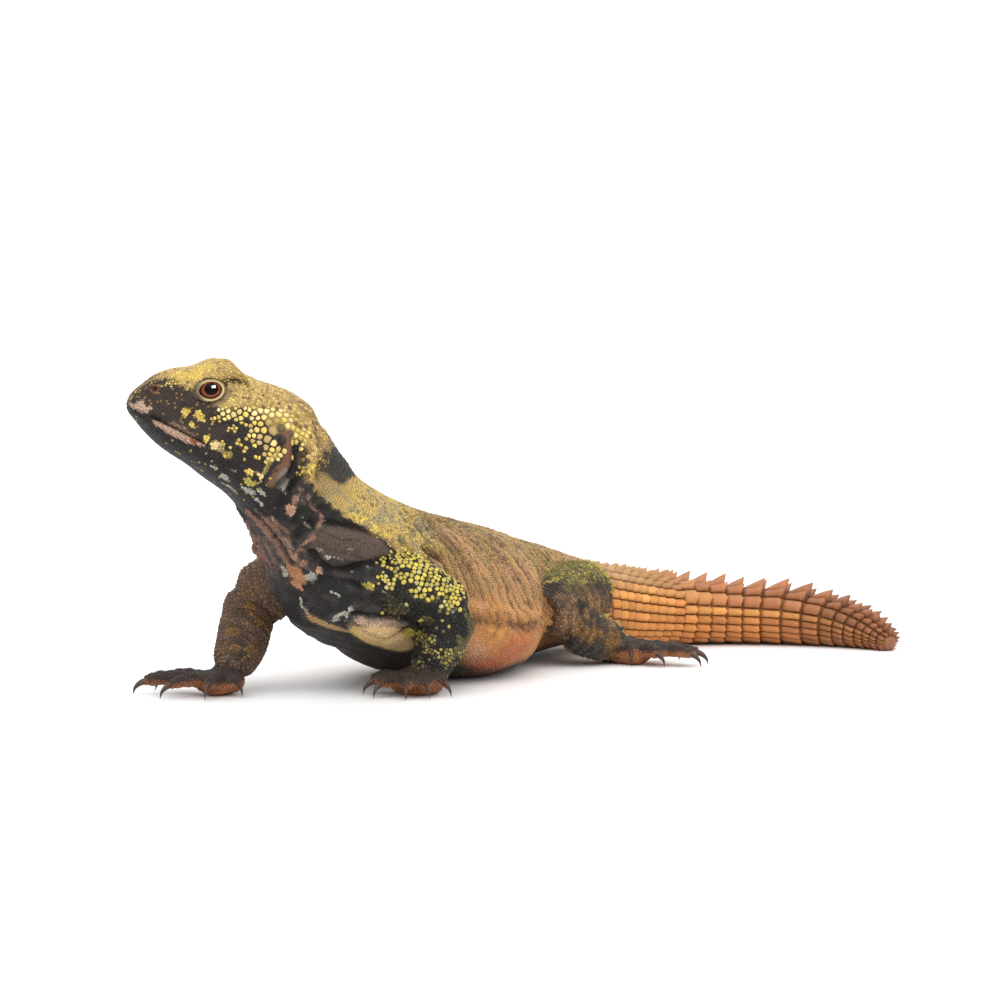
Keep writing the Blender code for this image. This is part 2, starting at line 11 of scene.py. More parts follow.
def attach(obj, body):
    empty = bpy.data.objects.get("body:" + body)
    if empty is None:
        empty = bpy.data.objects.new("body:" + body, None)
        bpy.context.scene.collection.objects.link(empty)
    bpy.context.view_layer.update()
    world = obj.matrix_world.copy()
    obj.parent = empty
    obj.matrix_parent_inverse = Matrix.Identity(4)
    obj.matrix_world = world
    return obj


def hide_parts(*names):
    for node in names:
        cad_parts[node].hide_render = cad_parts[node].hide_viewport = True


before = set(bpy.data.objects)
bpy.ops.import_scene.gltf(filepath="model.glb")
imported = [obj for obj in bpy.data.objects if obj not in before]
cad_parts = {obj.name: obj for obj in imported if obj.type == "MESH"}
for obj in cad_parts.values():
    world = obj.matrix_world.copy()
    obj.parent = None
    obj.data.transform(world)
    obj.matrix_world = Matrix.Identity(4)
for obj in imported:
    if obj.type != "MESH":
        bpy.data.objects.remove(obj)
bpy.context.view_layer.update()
print("frame loaded")

# Shapes are worked out in millimetres and made in metres. The lizard faces -Y, its left side
# is at +X, and it lies on the floor at z = 0.
mm = 0.001
planMiddle = np.array([5.9, 11.2])  # taken off every plan position below

# the body's line, as the solids have it: distance from the snout, x, y, z
spineTable = np.array([
    (-2.0, -39.4, -116.2, 85.3), (27.0, -21.9, -97.5, 71.7), (46.0, -10.8, -85.3, 62.6),
    (63.0, -4.8, -74.0, 50.5), (80.0, -2.0, -61.5, 38.5), (99.0, -1.0, -45.0, 29.0),
    (131.0, -1.0, -15.0, 20.5), (146.0, -3.5, 0.0, 18.5), (156.0, -6.5, 10.0, 17.0),
    (166.0, -9.0, 20.0, 16.5), (181.5, -11.0, 35.0, 15.5), (202.0, -8.0, 55.0, 14.5),
    (217.5, -3.5, 70.0, 13.5), (238.0, 5.0, 89.0, 12.5), (258.0, 15.8, 105.2, 11.5),
    (279.0, 31.6, 118.2, 11.0), (299.0, 50.0, 126.2, 10.5), (317.0, 67.4, 129.0, 9.0),
    (332.0, 80.5, 127.4, 6.0), (345.0, 90.0, 123.0, 3.0),
])
spineTable[:, 1:3] -= planMiddle

# its sections: distance, half width, height above, depth below, squareness above and below
sectionTable = np.array([
    (-2.0, 2.8, 2.2, 1.6, 2.0, 2.0), (-1.0, 4.8, 5.2, 2.4, 2.0, 2.0),
    (1.3, 6.8, 11.4, 2.4, 2.1, 2.0), (5.5, 8.8, 15.9, 4.2, 2.2, 2.0),
    (11.0, 10.8, 18.5, 6.0, 2.4, 2.0), (16.0, 12.4, 20.6, 6.8, 2.5, 2.1),
    (22.0, 14.4, 22.6, 7.3, 2.5, 2.2), (28.0, 16.2, 24.0, 8.4, 2.5, 2.2),
    (35.0, 17.5, 25.2, 9.5, 2.4, 2.2), (41.0, 17.8, 25.4, 11.2, 2.3, 2.1),
    (48.0, 17.2, 22.2, 12.8, 2.1, 2.0), (54.0, 16.8, 20.2, 14.2, 2.1, 2.0),
    (63.0, 18.0, 19.6, 17.4, 2.0, 2.0), (74.0, 21.0, 23.0, 21.4, 2.0, 2.0),
    (85.0, 22.5, 25.2, 21.4, 2.1, 2.1), (99.0, 25.5, 26.8, 20.0, 2.1, 2.2),
    (115.0, 29.5, 28.0, 21.4, 2.1, 2.4), (131.0, 32.0, 28.6, 21.0, 2.1, 2.7),
    (146.0, 29.6, 28.3, 19.5, 2.1, 2.8), (156.0, 27.2, 28.0, 18.5, 2.1, 2.7),
    (166.0, 24.6, 27.2, 17.5, 2.1, 2.6), (181.5, 22.8, 25.5, 16.0, 2.1, 2.5),
    (202.0, 21.4, 21.7, 13.0, 2.1, 2.3), (217.5, 19.6, 17.8, 11.0, 2.1, 2.2),
    (238.0, 17.0, 13.0, 11.5, 2.2, 2.3), (258.0, 14.5, 9.8, 11.0, 2.3, 2.3),
    (279.0, 12.5, 7.8, 10.5, 2.3, 2.3), (299.0, 10.8, 6.8, 10.0, 2.3, 2.3),
    (317.0, 8.8, 5.0, 8.8, 2.3, 2.2), (332.0, 6.2, 3.6, 6.0, 2.2, 2.1),
    (345.0, 2.2, 1.6, 3.0, 2.0, 2.0),
])

# swellings of the chest and a dent in the left flank: centre, reach along x, y and z, height
swellings = [
    ((20.0, -67.0, 18.0), (9.0, 8.0, 5.0), 3.0),
    ((-5.0, -76.5, 22.0), (14.0, 7.0, 6.0), 2.6),
    ((-20.0, -70.0, 18.0), (8.0, 8.0, 5.0), 2.0),
    ((26.0, 8.0, 20.0), (9.0, 10.0, 5.0), -1.2),
]

# places in the head: distance back from the snout, out to the side and up from the body's line
headShape = {
    "brow": (16.2, 7.2, 18.4), "browSize": (7.0, 4.6, 6.0), "browHeight": 6.4,
    "eye": (16.6, 8.6, 14.2), "eyeRadius": 4.4, "lidRadius": 5.35, "opening": (3.2, 2.4),
    "openingTilt": 34.0, "openingAhead": 0.4,
    "nostril": (2.4, 6.6, 7.8), "mouthBack": 21.5, "noseLift": 2.3, "noseEnd": 1.6,
}
tailStart = 222.0
tailEnd = 344.0
# distances of the tail whorls' front edges
whorlEdges = [
    222.0, 226.0, 229.8, 233.2, 236.6, 240.2, 244.2, 248.4, 253.2, 258.6, 264.6, 270.8, 277.2,
    283.8, 290.8, 298.4, 306.4, 313.6, 319.6, 325.0, 329.8, 334.0, 337.6, 340.8,
]

# limb pieces: x, y, z, radius across, radius in height
limbTables = {
    "upperArmLeft": [
        (8, -65, 35, 6.0, 6.0), (12, -63.5, 34.5, 8.6, 8.6), (19.5, -58, 31.5, 9.0, 9.0),
        (25.5, -52, 27, 8.6, 8.6), (28.3, -48.7, 24.5, 7.4, 7.4), (29.5, -47, 23.5, 4.0, 4.0),
    ],
    "forearmLeft": [
        (28.9, -47.4, 25.5, 4.5, 4.5), (28.5, -48.4, 24, 7.2, 7.2), (27.3, -50.4, 19.5, 8.0, 8.0),
        (24.8, -52, 12.5, 7.2, 7.2), (22.6, -53.2, 7.5, 6.0, 6.0), (22.2, -53.6, 6, 3.0, 3.0),
    ],
    "upperArmRight": [
        (-6, -63, 36, 6.0, 6.0), (-12, -62, 35.5, 9.0, 9.0), (-22, -60.5, 32.5, 9.2, 9.6),
        (-31, -61, 28, 9.2, 9.8), (-35, -62, 26, 8.2, 8.4), (-37, -62.5, 25, 4.6, 4.6),
    ],
    "forearmRight": [
        (-34.5, -62, 27.5, 5.0, 5.0), (-34.3, -63, 25.5, 8.0, 8.0), (-32.2, -68, 20, 8.2, 8.2),
        (-29.5, -75, 13, 7.8, 7.4), (-27.8, -81, 7.5, 6.0, 6.0), (-27.5, -82, 6, 3.0, 3.0),
    ],
    "thighLeft": [
        (0, 62, 17, 7.0, 7.0), (4, 59.5, 18, 10.5, 10.5), (12, 50, 20, 12.0, 12.0),
        (17.5, 38, 20.5, 11.5, 11.5), (19, 26, 18.5, 10.0, 10.0), (18.5, 19.0, 17.5, 6.0, 6.0),
    ],
    "shankLeft": [
        (22.5, 27, 13, 5.0, 5.0), (24, 30, 11.5, 7.2, 7.2), (27, 37, 9, 7.6, 7.6),
        (27, 42.5, 7, 7.0, 6.5), (26, 46.5, 5, 5.5, 5.0), (26, 47.5, 4.5, 3.0, 3.0),
    ],
    "thighRight": [
        (-14, 64, 17, 7.0, 7.0), (-20, 61.5, 18, 10.5, 10.5), (-31, 55, 19.5, 12.0, 12.0),
        (-41, 47.5, 19, 11.0, 11.0), (-47, 40.5, 16.5, 9.5, 9.5), (-50, 37, 15.5, 6.0, 6.0),
    ],
    "shankRight": [
        (-49.5, 38, 12.5, 5.0, 5.0), (-50, 40.5, 11.5, 7.5, 7.5), (-51, 48, 9, 7.6, 7.4),
        (-50, 56, 6.5, 6.6, 6.0), (-48.5, 61.5, 5, 5.4, 4.8), (-48.5, 62.5, 4.5, 3.0, 3.0),
    ],
    "handLeft": [
        (22.5, -49.5, 4.6, 4.5, 3.5), (22, -52, 4.2, 6.5, 5.0), (20.5, -56.5, 3.8, 8.2, 4.6),
        (19.5, -60, 3.6, 8.2, 4.0), (19.3, -61.5, 3.4, 5.0, 2.6),
    ],
    "handRight": [
        (-27.8, -80, 4.6, 4.5, 3.5), (-28, -82.5, 4.2, 6.3, 4.4), (-29, -87, 3.8, 8.0, 4.0),
        (-30, -90.5, 3.6, 8.0, 4.0), (-30.5, -92, 3.4, 5.0, 2.6),
    ],
    "footLeft": [
        (22.5, 45.5, 4.2, 4.0, 3.2), (25, 46, 4.4, 5.6, 4.8), (32, 46.8, 4.2, 7.0, 4.8),
        (38.5, 47.2, 3.8, 7.6, 4.2), (40.5, 47.4, 3.6, 5.0, 2.6),
    ],
    "footRight": [
        (-46.5, 60, 4.2, 4.0, 3.2), (-48, 62, 4.4, 5.6, 4.8), (-53, 67, 4.2, 7.0, 4.8),
        (-57.5, 71.5, 3.8, 7.6, 4.2), (-59, 73, 3.6, 5.0, 2.6),
    ],
}
# each digit: root x, y, claw tip x, y
digitTables = {
    "handLeft": [
        (14.5, -57.0, 8.8, -67.0), (17.0, -60.0, 16.9, -73.6), (20.5, -60.5, 27.0, -72.0),
        (23.5, -59.0, 31.5, -66.5), (25.5, -56.0, 34.2, -59.0),
    ],
    "handRight": [
        (-24.0, -86.5, -17.0, -90.9), (-26.0, -89.5, -22.1, -102.1),
        (-29.5, -90.5, -34.5, -107.0), (-33.0, -89.5, -48.3, -102.1),
        (-35.0, -86.0, -48.5, -91.5),
    ],
    "footLeft": [
        (35.0, 44.5, 40.0, 37.0), (37.5, 44.0, 50.0, 40.5), (38.5, 46.0, 59.5, 46.8),
        (38.5, 48.5, 58.5, 53.5), (35.5, 51.0, 45.0, 59.5),
    ],
    "footRight": [
        (-56.5, 65.0, -64.5, 62.0), (-58.5, 68.0, -73.0, 70.0), (-58.0, 70.0, -78.5, 79.5),
        (-56.5, 72.0, -73.0, 87.5), (-53.0, 72.5, -59.5, 87.0),
    ],
}
# heights and radii of toes and claws; the claw bends at a place ahead of its root and up
toeShape = {
    "radius": 2.3, "taper": (1.15, 1.1, 1.0, 0.8), "root": 4.2, "arch": 5.2, "tip": 0.25,
    "clawReach": 3.0, "clawRoot": 4.0, "clawBend": (2.3, 2.4), "clawRadius": 0.95,
    "clawWidth": 0.72,
}


def follow(table, at):
    # columns of a table at distances along its first column, by cubic curves through its rows
    keys, values = table[:, 0], table[:, 1:]
    m = np.empty_like(values)
    m[1:-1] = (values[2:] - values[:-2]) / (keys[2:] - keys[:-2])[:, None]
    m[0] = (values[1] - values[0]) / (keys[1] - keys[0])
    m[-1] = (values[-1] - values[-2]) / (keys[-1] - keys[-2])
    at = np.atleast_1d(np.asarray(at, float))
    i = np.clip(np.searchsorted(keys, at, side="right") - 1, 0, len(keys) - 2)
    h = (keys[i + 1] - keys[i])[:, None]
    t = (at - keys[i])[:, None] / h
    return (
        (2 * t**3 - 3 * t**2 + 1) * values[i] + (t**3 - 2 * t**2 + t) * h * m[i]
        + (3 * t**2 - 2 * t**3) * values[i + 1] + (t**3 - t**2) * h * m[i + 1]
    )


def unit(v):
    return v / (np.linalg.norm(v, axis=-1, keepdims=True) + 1e-12)


def frames(path, at, step=0.5):
    # centre, left, up and ahead directions at distances along a path
    at = np.atleast_1d(np.asarray(at, float))
    ahead = unit(follow(path, at - step) - follow(path, at + step))
    left = unit(np.cross([0.0, 0.0, 1.0], ahead) + 1e-9)
    return follow(path, at), left, np.cross(ahead, left), ahead


def bell(x):
    return np.exp(-x * x)


def ramp(x, low, high):
    # 0 at low, 1 at high, with a smooth step between; low may be above high
    t = np.clip((x - low) / (high - low), 0, 1)
    return t * t * (3 - 2 * t)


def within(x, low, high, soft):
    return ramp(x, low - soft, low + soft) * ramp(x, high + soft, high - soft)


def cloud(points, size, seed):
    # smooth noise from 0 to 1: a value at each corner of a cubic grid, blended between corners
    q = points / size + seed * 7.31
    low = np.floor(q).astype(np.int64)
    f = q - low
    f = f * f * (3 - 2 * f)
    total = np.zeros(points.shape[:-1])
    for corner in range(8):
        o = np.array([corner & 1, corner >> 1 & 1, corner >> 2])
        k = low + o
        h = (k[..., 0] * 73856093) ^ (k[..., 1] * 19349663) ^ (k[..., 2] * 83492791) ^ seed
        h = ((h ^ (h >> 13)) * 1274126177) & 0x7FFFFFFF
        h = (h ^ (h >> 11)) % 65536 / 65535.0
        total += h * np.prod(np.where(o == 1, f, 1 - f), axis=-1)
    return total


def fractal(points, size, seed):
    # three clouds, each half as large and half as strong as the one before
    return (
        cloud(points, size, seed) + 0.5 * cloud(points, size / 2.1, seed + 1)
        + 0.25 * cloud(points, size / 4.3, seed + 2)
    ) / 1.75


def linear(code):
    # sRGB hex to linear red, green, blue
    c = np.array([int(code[i:i + 2], 16) for i in (1, 3, 5)]) / 255.0
    return np.where(c <= 0.04045, c / 12.92, ((c + 0.055) / 1.055) ** 2.4)


def mixed(a, b, share):
    # from a to b by each point's share
    return a + (b - a) * np.clip(share, 0, 1)[..., None]


def makeObject(name, points, faces, material, smooth=True):
    # points in millimetres; faces as an array of triangles or quads, or a list
    mesh = bpy.data.meshes.new(name)
    mesh.from_pydata((np.asarray(points) * mm).tolist(), [], [tuple(f) for f in faces])
    mesh.polygons.foreach_set("use_smooth", np.full(len(mesh.polygons), smooth))
    mesh.materials.append(material)
    obj = bpy.data.objects.new(name, mesh)
    bpy.context.scene.collection.objects.link(obj)
    return obj


def setColour(mesh, colours):
    layer = mesh.color_attributes.new("marking", "FLOAT_COLOR", "POINT")
    rgba = np.ones((len(mesh.vertices), 4), np.float32)
    rgba[:, :3] = colours
    layer.data.foreach_set("color", rgba.ravel())


def readMesh(mesh):
    points = np.empty(len(mesh.vertices) * 3, np.float32)
    mesh.vertices.foreach_get("co", points)
    normals = np.empty(len(mesh.vertices) * 3, np.float32)
    mesh.vertex_normals.foreach_get("vector", normals)
    return points.reshape(-1, 3).astype(float) / mm, normals.reshape(-1, 3).astype(float)


def gridFaces(rows, columns, closed=True):
    # quads between neighbouring rows of points, round a closed ring or along an open strip
    r = np.arange(rows - 1)[:, None]
    c = np.arange(columns if closed else columns - 1)[None, :]
    n = (c + 1) % columns
    return np.stack([
        r * columns + c, r * columns + n, (r + 1) * columns + n, (r + 1) * columns + c,
    ], axis=-1).reshape(-1, 4)


def tubeSurface(rings):
    # a closed tube through rings of points, with a point at the middle of each end
    rows, columns, _ = rings.shape
    points = np.concatenate([rings.reshape(-1, 3), rings[:1].mean(1), rings[-1:].mean(1)])
    faces = [tuple(q) for q in gridFaces(rows, columns)]
    first, last, base = rows * columns, rows * columns + 1, (rows - 1) * columns
    for k in range(columns):
        n = (k + 1) % columns
        faces += [(first, n, k), (last, base + k, base + n)]
    return points, faces


def join(surfaces):
    points, faces, start = [], [], 0
    for p, f in surfaces:
        points.append(p)
        faces += [tuple(i + start for i in face) for face in f]
        start += len(p)
    return np.concatenate(points), faces


def treeOf(places):
    tree = KDTree(len(places))
    for i, p in enumerate(places.tolist()):
        tree.insert(p, i)
    tree.balance()
    return tree


# the head's own frame, taken at one distance from the snout
headAt = 20.0
headCentre, *headAxes = [v[0] for v in frames(spineTable, headAt)]  # axes: left, up, ahead


def headPoint(place, side):
    back, out, height = place
    left, up, ahead = headAxes
    return headCentre + ahead * (headAt - back) + left * out * side + up * height


def swell(points, outward):
    # bell-shaped bumps at the swellings and over both brows
    shift = np.zeros(points.shape[:-1])
    for middle, reach, height in swellings:
        middle = np.array(middle) - np.array([*planMiddle, 0.0])
        shift += height * np.exp(-(((points - middle) / np.array(reach)) ** 2).sum(-1))
    size = headShape["browSize"]
    for side in (1, -1):
        d = (points - headPoint(headShape["brow"], side)) @ np.array(headAxes).T
        d = d / np.array([size[1], size[2], size[0]])
        shift += headShape["browHeight"] * np.exp(-(d**2).sum(-1))
    return points + outward * shift[..., None]


def bodyRings(at, angles):
    # superellipse sections along the spine, squarer above or below as the table says
    centre, left, up, _ = frames(spineTable, at)
    half, above, below, squareUp, squareDown = follow(sectionTable, at).T
    c, s = np.cos(angles), np.sin(angles)
    power = np.where(s[None, :] >= 0, 2 / squareUp[:, None], 2 / squareDown[:, None])
    across = np.sign(c) * np.abs(c) ** power
    rise = np.sign(s) * np.abs(s) ** power
    height = np.where(s >= 0, above[:, None], below[:, None]) * rise
    lift = np.clip((headShape["noseEnd"] - at) / (headShape["noseEnd"] + 2.0), 0, 1) ** 1.4
    height = height + (headShape["noseLift"] * lift)[:, None]
    offset = (half[:, None] * across)[..., None] * left[:, None] + height[..., None] * up[:, None]
    rings = swell(centre[:, None] + offset, unit(offset))
    rings[..., 2] = np.maximum(rings[..., 2], 0.0)
    return rings


def circle(count):
    return (np.arange(count) + 0.5) * 2 * math.pi / count


def ovals(centre, left, up, across, high, angles):
    # rings of points: half width times cosine to the left, half height times sine upwards
    return (
        centre[:, None] + (across[:, None] * np.cos(angles))[..., None] * left[:, None]
        + (high[:, None] * np.sin(angles))[..., None] * up[:, None]
    )


def stationTube(stations):
    # a limb's path and its two radii, both by the distance along it
    table = np.asarray(stations, float)
    table[:, :2] -= planMiddle
    chord = np.linalg.norm(np.diff(table[:, :3], axis=0), axis=1)
    length = np.concatenate([[0], np.cumsum(chord)])
    return np.column_stack([length, table[:, :3]]), np.column_stack([length, table[:, 3:]])


def digitLine(digit):
    # the line of a toe and its claw, down to the claw's tip, and where the toe ends on it
    x0, y0, x1, y1 = digit
    root, tip = np.array([x0, y0]) - planMiddle, np.array([x1, y1]) - planMiddle
    ahead = unit(tip - root)
    end = tip - ahead * toeShape["clawReach"]
    middle = root + (end - root) * 0.5
    bend, bendHeight = toeShape["clawBend"]
    line = np.array([
        (*root, toeShape["root"]), (*middle, toeShape["arch"]), (*end, toeShape["clawRoot"]),
        (*(end + ahead * bend), bendHeight), (*tip, toeShape["tip"]),
    ])
    chord = np.linalg.norm(np.diff(line, axis=0), axis=1)
    table = np.column_stack([np.concatenate([[0], np.cumsum(chord)]), line])
    return table, table[2, 0]


# every piece of flesh is a tube round a path; the body comes first
tubes = [{"name": "body", "path": spineTable, "ends": (-1.8, tailEnd - 1)}]
for limbName, stations in limbTables.items():
    path, size = stationTube(stations)
    tubes.append({"name": limbName, "path": path, "size": size, "ends": (0.3, path[-1, 0] - 0.3)})
for limbName, digits in digitTables.items():
    for digit in digits:
        path, cut = digitLine(digit)
        radius = np.array(toeShape["taper"]) * toeShape["radius"]
        size = np.column_stack([[0.0, cut * 0.5, cut * 0.85, cut], radius, radius])
        tubes.append({"name": limbName + "Toe", "path": path, "size": size, "ends": (0, cut)})
partNames = [tube["name"] for tube in tubes]


def partsNamed(*starts):
    return np.array([k for k, n in enumerate(partNames) if n.startswith(starts)])


def tubeRings(k, at, angles):
    if k == 0:
        return bodyRings(at, angles)
    tube = tubes[k]
    centre, left, up, _ = frames(tube["path"], at, 0.4)
    return ovals(centre, left, up, *follow(tube["size"], at).T, angles)


# samples of every tube, to tell which tube a point belongs to
samplePoints, samplePart, sampleAt = [], [], []
for k, tube in enumerate(tubes):
    length = tube["ends"][1] - tube["ends"][0]
    count = max(8, int(length / (1.6 if k == 0 else 1.2)))
    around = 56 if k == 0 else 20 if len(tube["path"]) > 5 else 12
    at = np.linspace(*tube["ends"], count)
    samplePoints.append(tubeRings(k, at, circle(around)).reshape(-1, 3))
    samplePart.append(np.full(count * around, k))
    sampleAt.append(np.repeat(at, around))
samplePoints = np.concatenate(samplePoints)
samplePart = np.concatenate(samplePart)
sampleAt = np.concatenate(sampleAt)
sampleTree = treeOf(samplePoints)


def anatomy(points):
    # part number, distance along it, girth (0 on top, 1 below), side (1 left) and rearward way
    nearest = np.array([sampleTree.find(p)[1] for p in points])
    part = samplePart[nearest]
    along = sampleAt[nearest].copy()
    girth = np.zeros(len(points))
    side = np.ones(len(points))
    rear = np.zeros((len(points), 3))
    for k in np.unique(part):
        here = np.nonzero(part == k)[0]
        path, s = tubes[k]["path"], along[here]
        for _ in range(2):
            centre, left, up, ahead = frames(path, s, 0.5)
            s = s - ((points[here] - centre) * ahead).sum(-1)
            s = np.clip(s, tubes[k]["ends"][0], tubes[k]["ends"][1])
        centre, left, up, ahead = frames(path, s, 0.5)
        d = points[here] - centre
        out, high = (d * left).sum(-1), (d * up).sum(-1)
        if k == 0:
            width, above, below = follow(sectionTable, s).T[:3]
            high = high / np.where(high >= 0, above, below)
        else:
            width, tall = follow(tubes[k]["size"], s).T[:2]
            high = high / tall
        out = out / width
        girth[here] = np.arccos(np.clip(high / (np.hypot(out, high) + 1e-9), -1, 1)) / math.pi
        side[here] = np.where(out >= 0, 1, -1)
        along[here] = s
        rear[here] = -ahead
    return {"part": part, "s": along, "g": girth, "side": side, "rear": rear, "xyz": points}


print("anatomy", len(samplePoints), "samples")


def addNode(tree, kind, inputs=(), **settings):
    # one node: its own settings by name, then its inputs as values or as sockets to link from
    node = tree.nodes.new(kind)
    for name, value in settings.items():
        setattr(node, name, value)
    for name, value in dict(inputs).items():
        if isinstance(value, bpy.types.NodeSocket):
            tree.links.new(value, node.inputs[name])
        else:
            node.inputs[name].default_value = value
    return node


# Horny reptile scale (beta keratin, IOR 1.54): satin, with a fine pitted grain that breaks up
# the highlight. The spread is how far the grain lowers and raises the roughness.
keratin = {
    "ior": 1.54, "specular": 0.26, "spread": (0.12, 0.14), "bump": 0.5, "coatRoughness": 0.35,
    "grainDetail": 3.0, "grainRoughness": 0.6,
}


def keratinMaterial(name, roughness, grain, grainDepth, speckle, coat=0.0):
    # the markings come with the mesh; a clear coat stands for gloss or wetness
    material = bpy.data.materials.new(name)
    material.use_nodes = True
    tree = material.node_tree
    shader = tree.nodes["Principled BSDF"]
    marking = addNode(tree, "ShaderNodeVertexColor", layer_name="marking")
    place = addNode(tree, "ShaderNodeTexCoord")
    fine = addNode(tree, "ShaderNodeTexNoise", {
        "Vector": place.outputs["Object"], "Scale": 1.0 / (grain * mm),
        "Detail": keratin["grainDetail"], "Roughness": keratin["grainRoughness"],
    })
    shade = addNode(tree, "ShaderNodeMapRange", {
        "Value": fine.outputs["Fac"], "From Min": 0.3, "From Max": 0.7,
        "To Min": 1.0 - speckle, "To Max": 1.0 + speckle,
    })
    tinted = addNode(tree, "ShaderNodeVectorMath", {
        0: marking.outputs["Color"], "Scale": shade.outputs["Result"],
    }, operation="SCALE")
    tree.links.new(tinted.outputs["Vector"], shader.inputs["Base Color"])
    smoother, rougher = keratin["spread"]
    rough = addNode(tree, "ShaderNodeMapRange", {
        "Value": fine.outputs["Fac"], "To Min": roughness - smoother, "To Max": roughness + rougher,
    })
    tree.links.new(rough.outputs["Result"], shader.inputs["Roughness"])
    bump = addNode(tree, "ShaderNodeBump", {
        "Height": fine.outputs["Fac"], "Strength": keratin["bump"], "Distance": grainDepth * mm,
    })
    tree.links.new(bump.outputs["Normal"], shader.inputs["Normal"])
    shader.inputs["IOR"].default_value = keratin["ior"]
    shader.inputs["Specular IOR Level"].default_value = keratin["specular"]
    shader.inputs["Coat Weight"].default_value = coat
    shader.inputs["Coat Roughness"].default_value = keratin["coatRoughness"]
    return material


# each finish: name, roughness, size and depth of its grain in mm, speckle, clear coat
# soft skin between the scales: thin keratin over flesh, so duller, with creases of 0.45 mm
skinFinish = keratinMaterial("folded_skin", 0.62, 0.45, 0.12, 0.16)
# body scales: satin, pitted at 0.25 mm
scaleFinish = keratinMaterial("keratin_scales", 0.5, 0.25, 0.03, 0.12)
# tail plates and spines: thicker horn, a little glossier, with a grain of 0.6 mm
plateFinish = keratinMaterial("horn_plates", 0.46, 0.6, 0.06, 0.16, 0.05)
# claws: dense smooth horn with a soft gloss
clawFinish = keratinMaterial("horn_claws", 0.32, 0.5, 0.03, 0.15, 0.2)
# eyeball under its tear film: wet and mirror smooth; the film's IOR is set a little below
# that of a cornea (1.376), so that the pale room mirrored in it leaves the pupil dark
eyeFinish = keratinMaterial("wet_eye", 0.22, 0.3, 0.0, 0.12, 1.0)
eyeShader = eyeFinish.node_tree.nodes["Principled BSDF"]
eyeShader.inputs["Specular IOR Level"].default_value = 0.0
eyeShader.inputs["Coat Roughness"].default_value = 0.02
eyeShader.inputs["Coat IOR"].default_value = 1.2
# narrow wet edge of the lids
lidFinish = keratinMaterial("lid_skin", 0.42, 0.3, 0.05, 0.14, 0.1)
print("materials")

skinLook = {
    "voxel": 1.0,  # grid of the blended surface over every tube
    "inset": 0.4,  # how deep it lies under the scales' tops
    "wrinkle": 0.6, "wrinkleSpacing": 4.4,  # slanting folds of the trunk's sides
    "wrinkleLean": 58.0,  # how far they run back from the top of the back to the belly
    "shadow": 0.62,  # how dark the skin lies between the scales
}
# lines used more than once: places as distance and girth
earFront = [(40.3, .35), (42, .39), (42.8, .433), (42.8, .472), (42.4, .511), (42.4, .56)]
earPit = [(43.3, .35), (44.6, .39), (44.8, .44), (44.5, .49), (44.2, .54)]
earFlange = [(43.8, .33), (46.0, .385), (46.9, .44), (47.0, .49), (47.1, .55)]
browCrease = [(18.2, .262), (19.5, .25), (23, .212), (24.8, .192)]
armCrease = [(87, .375), (91, .38), (95, .395)]
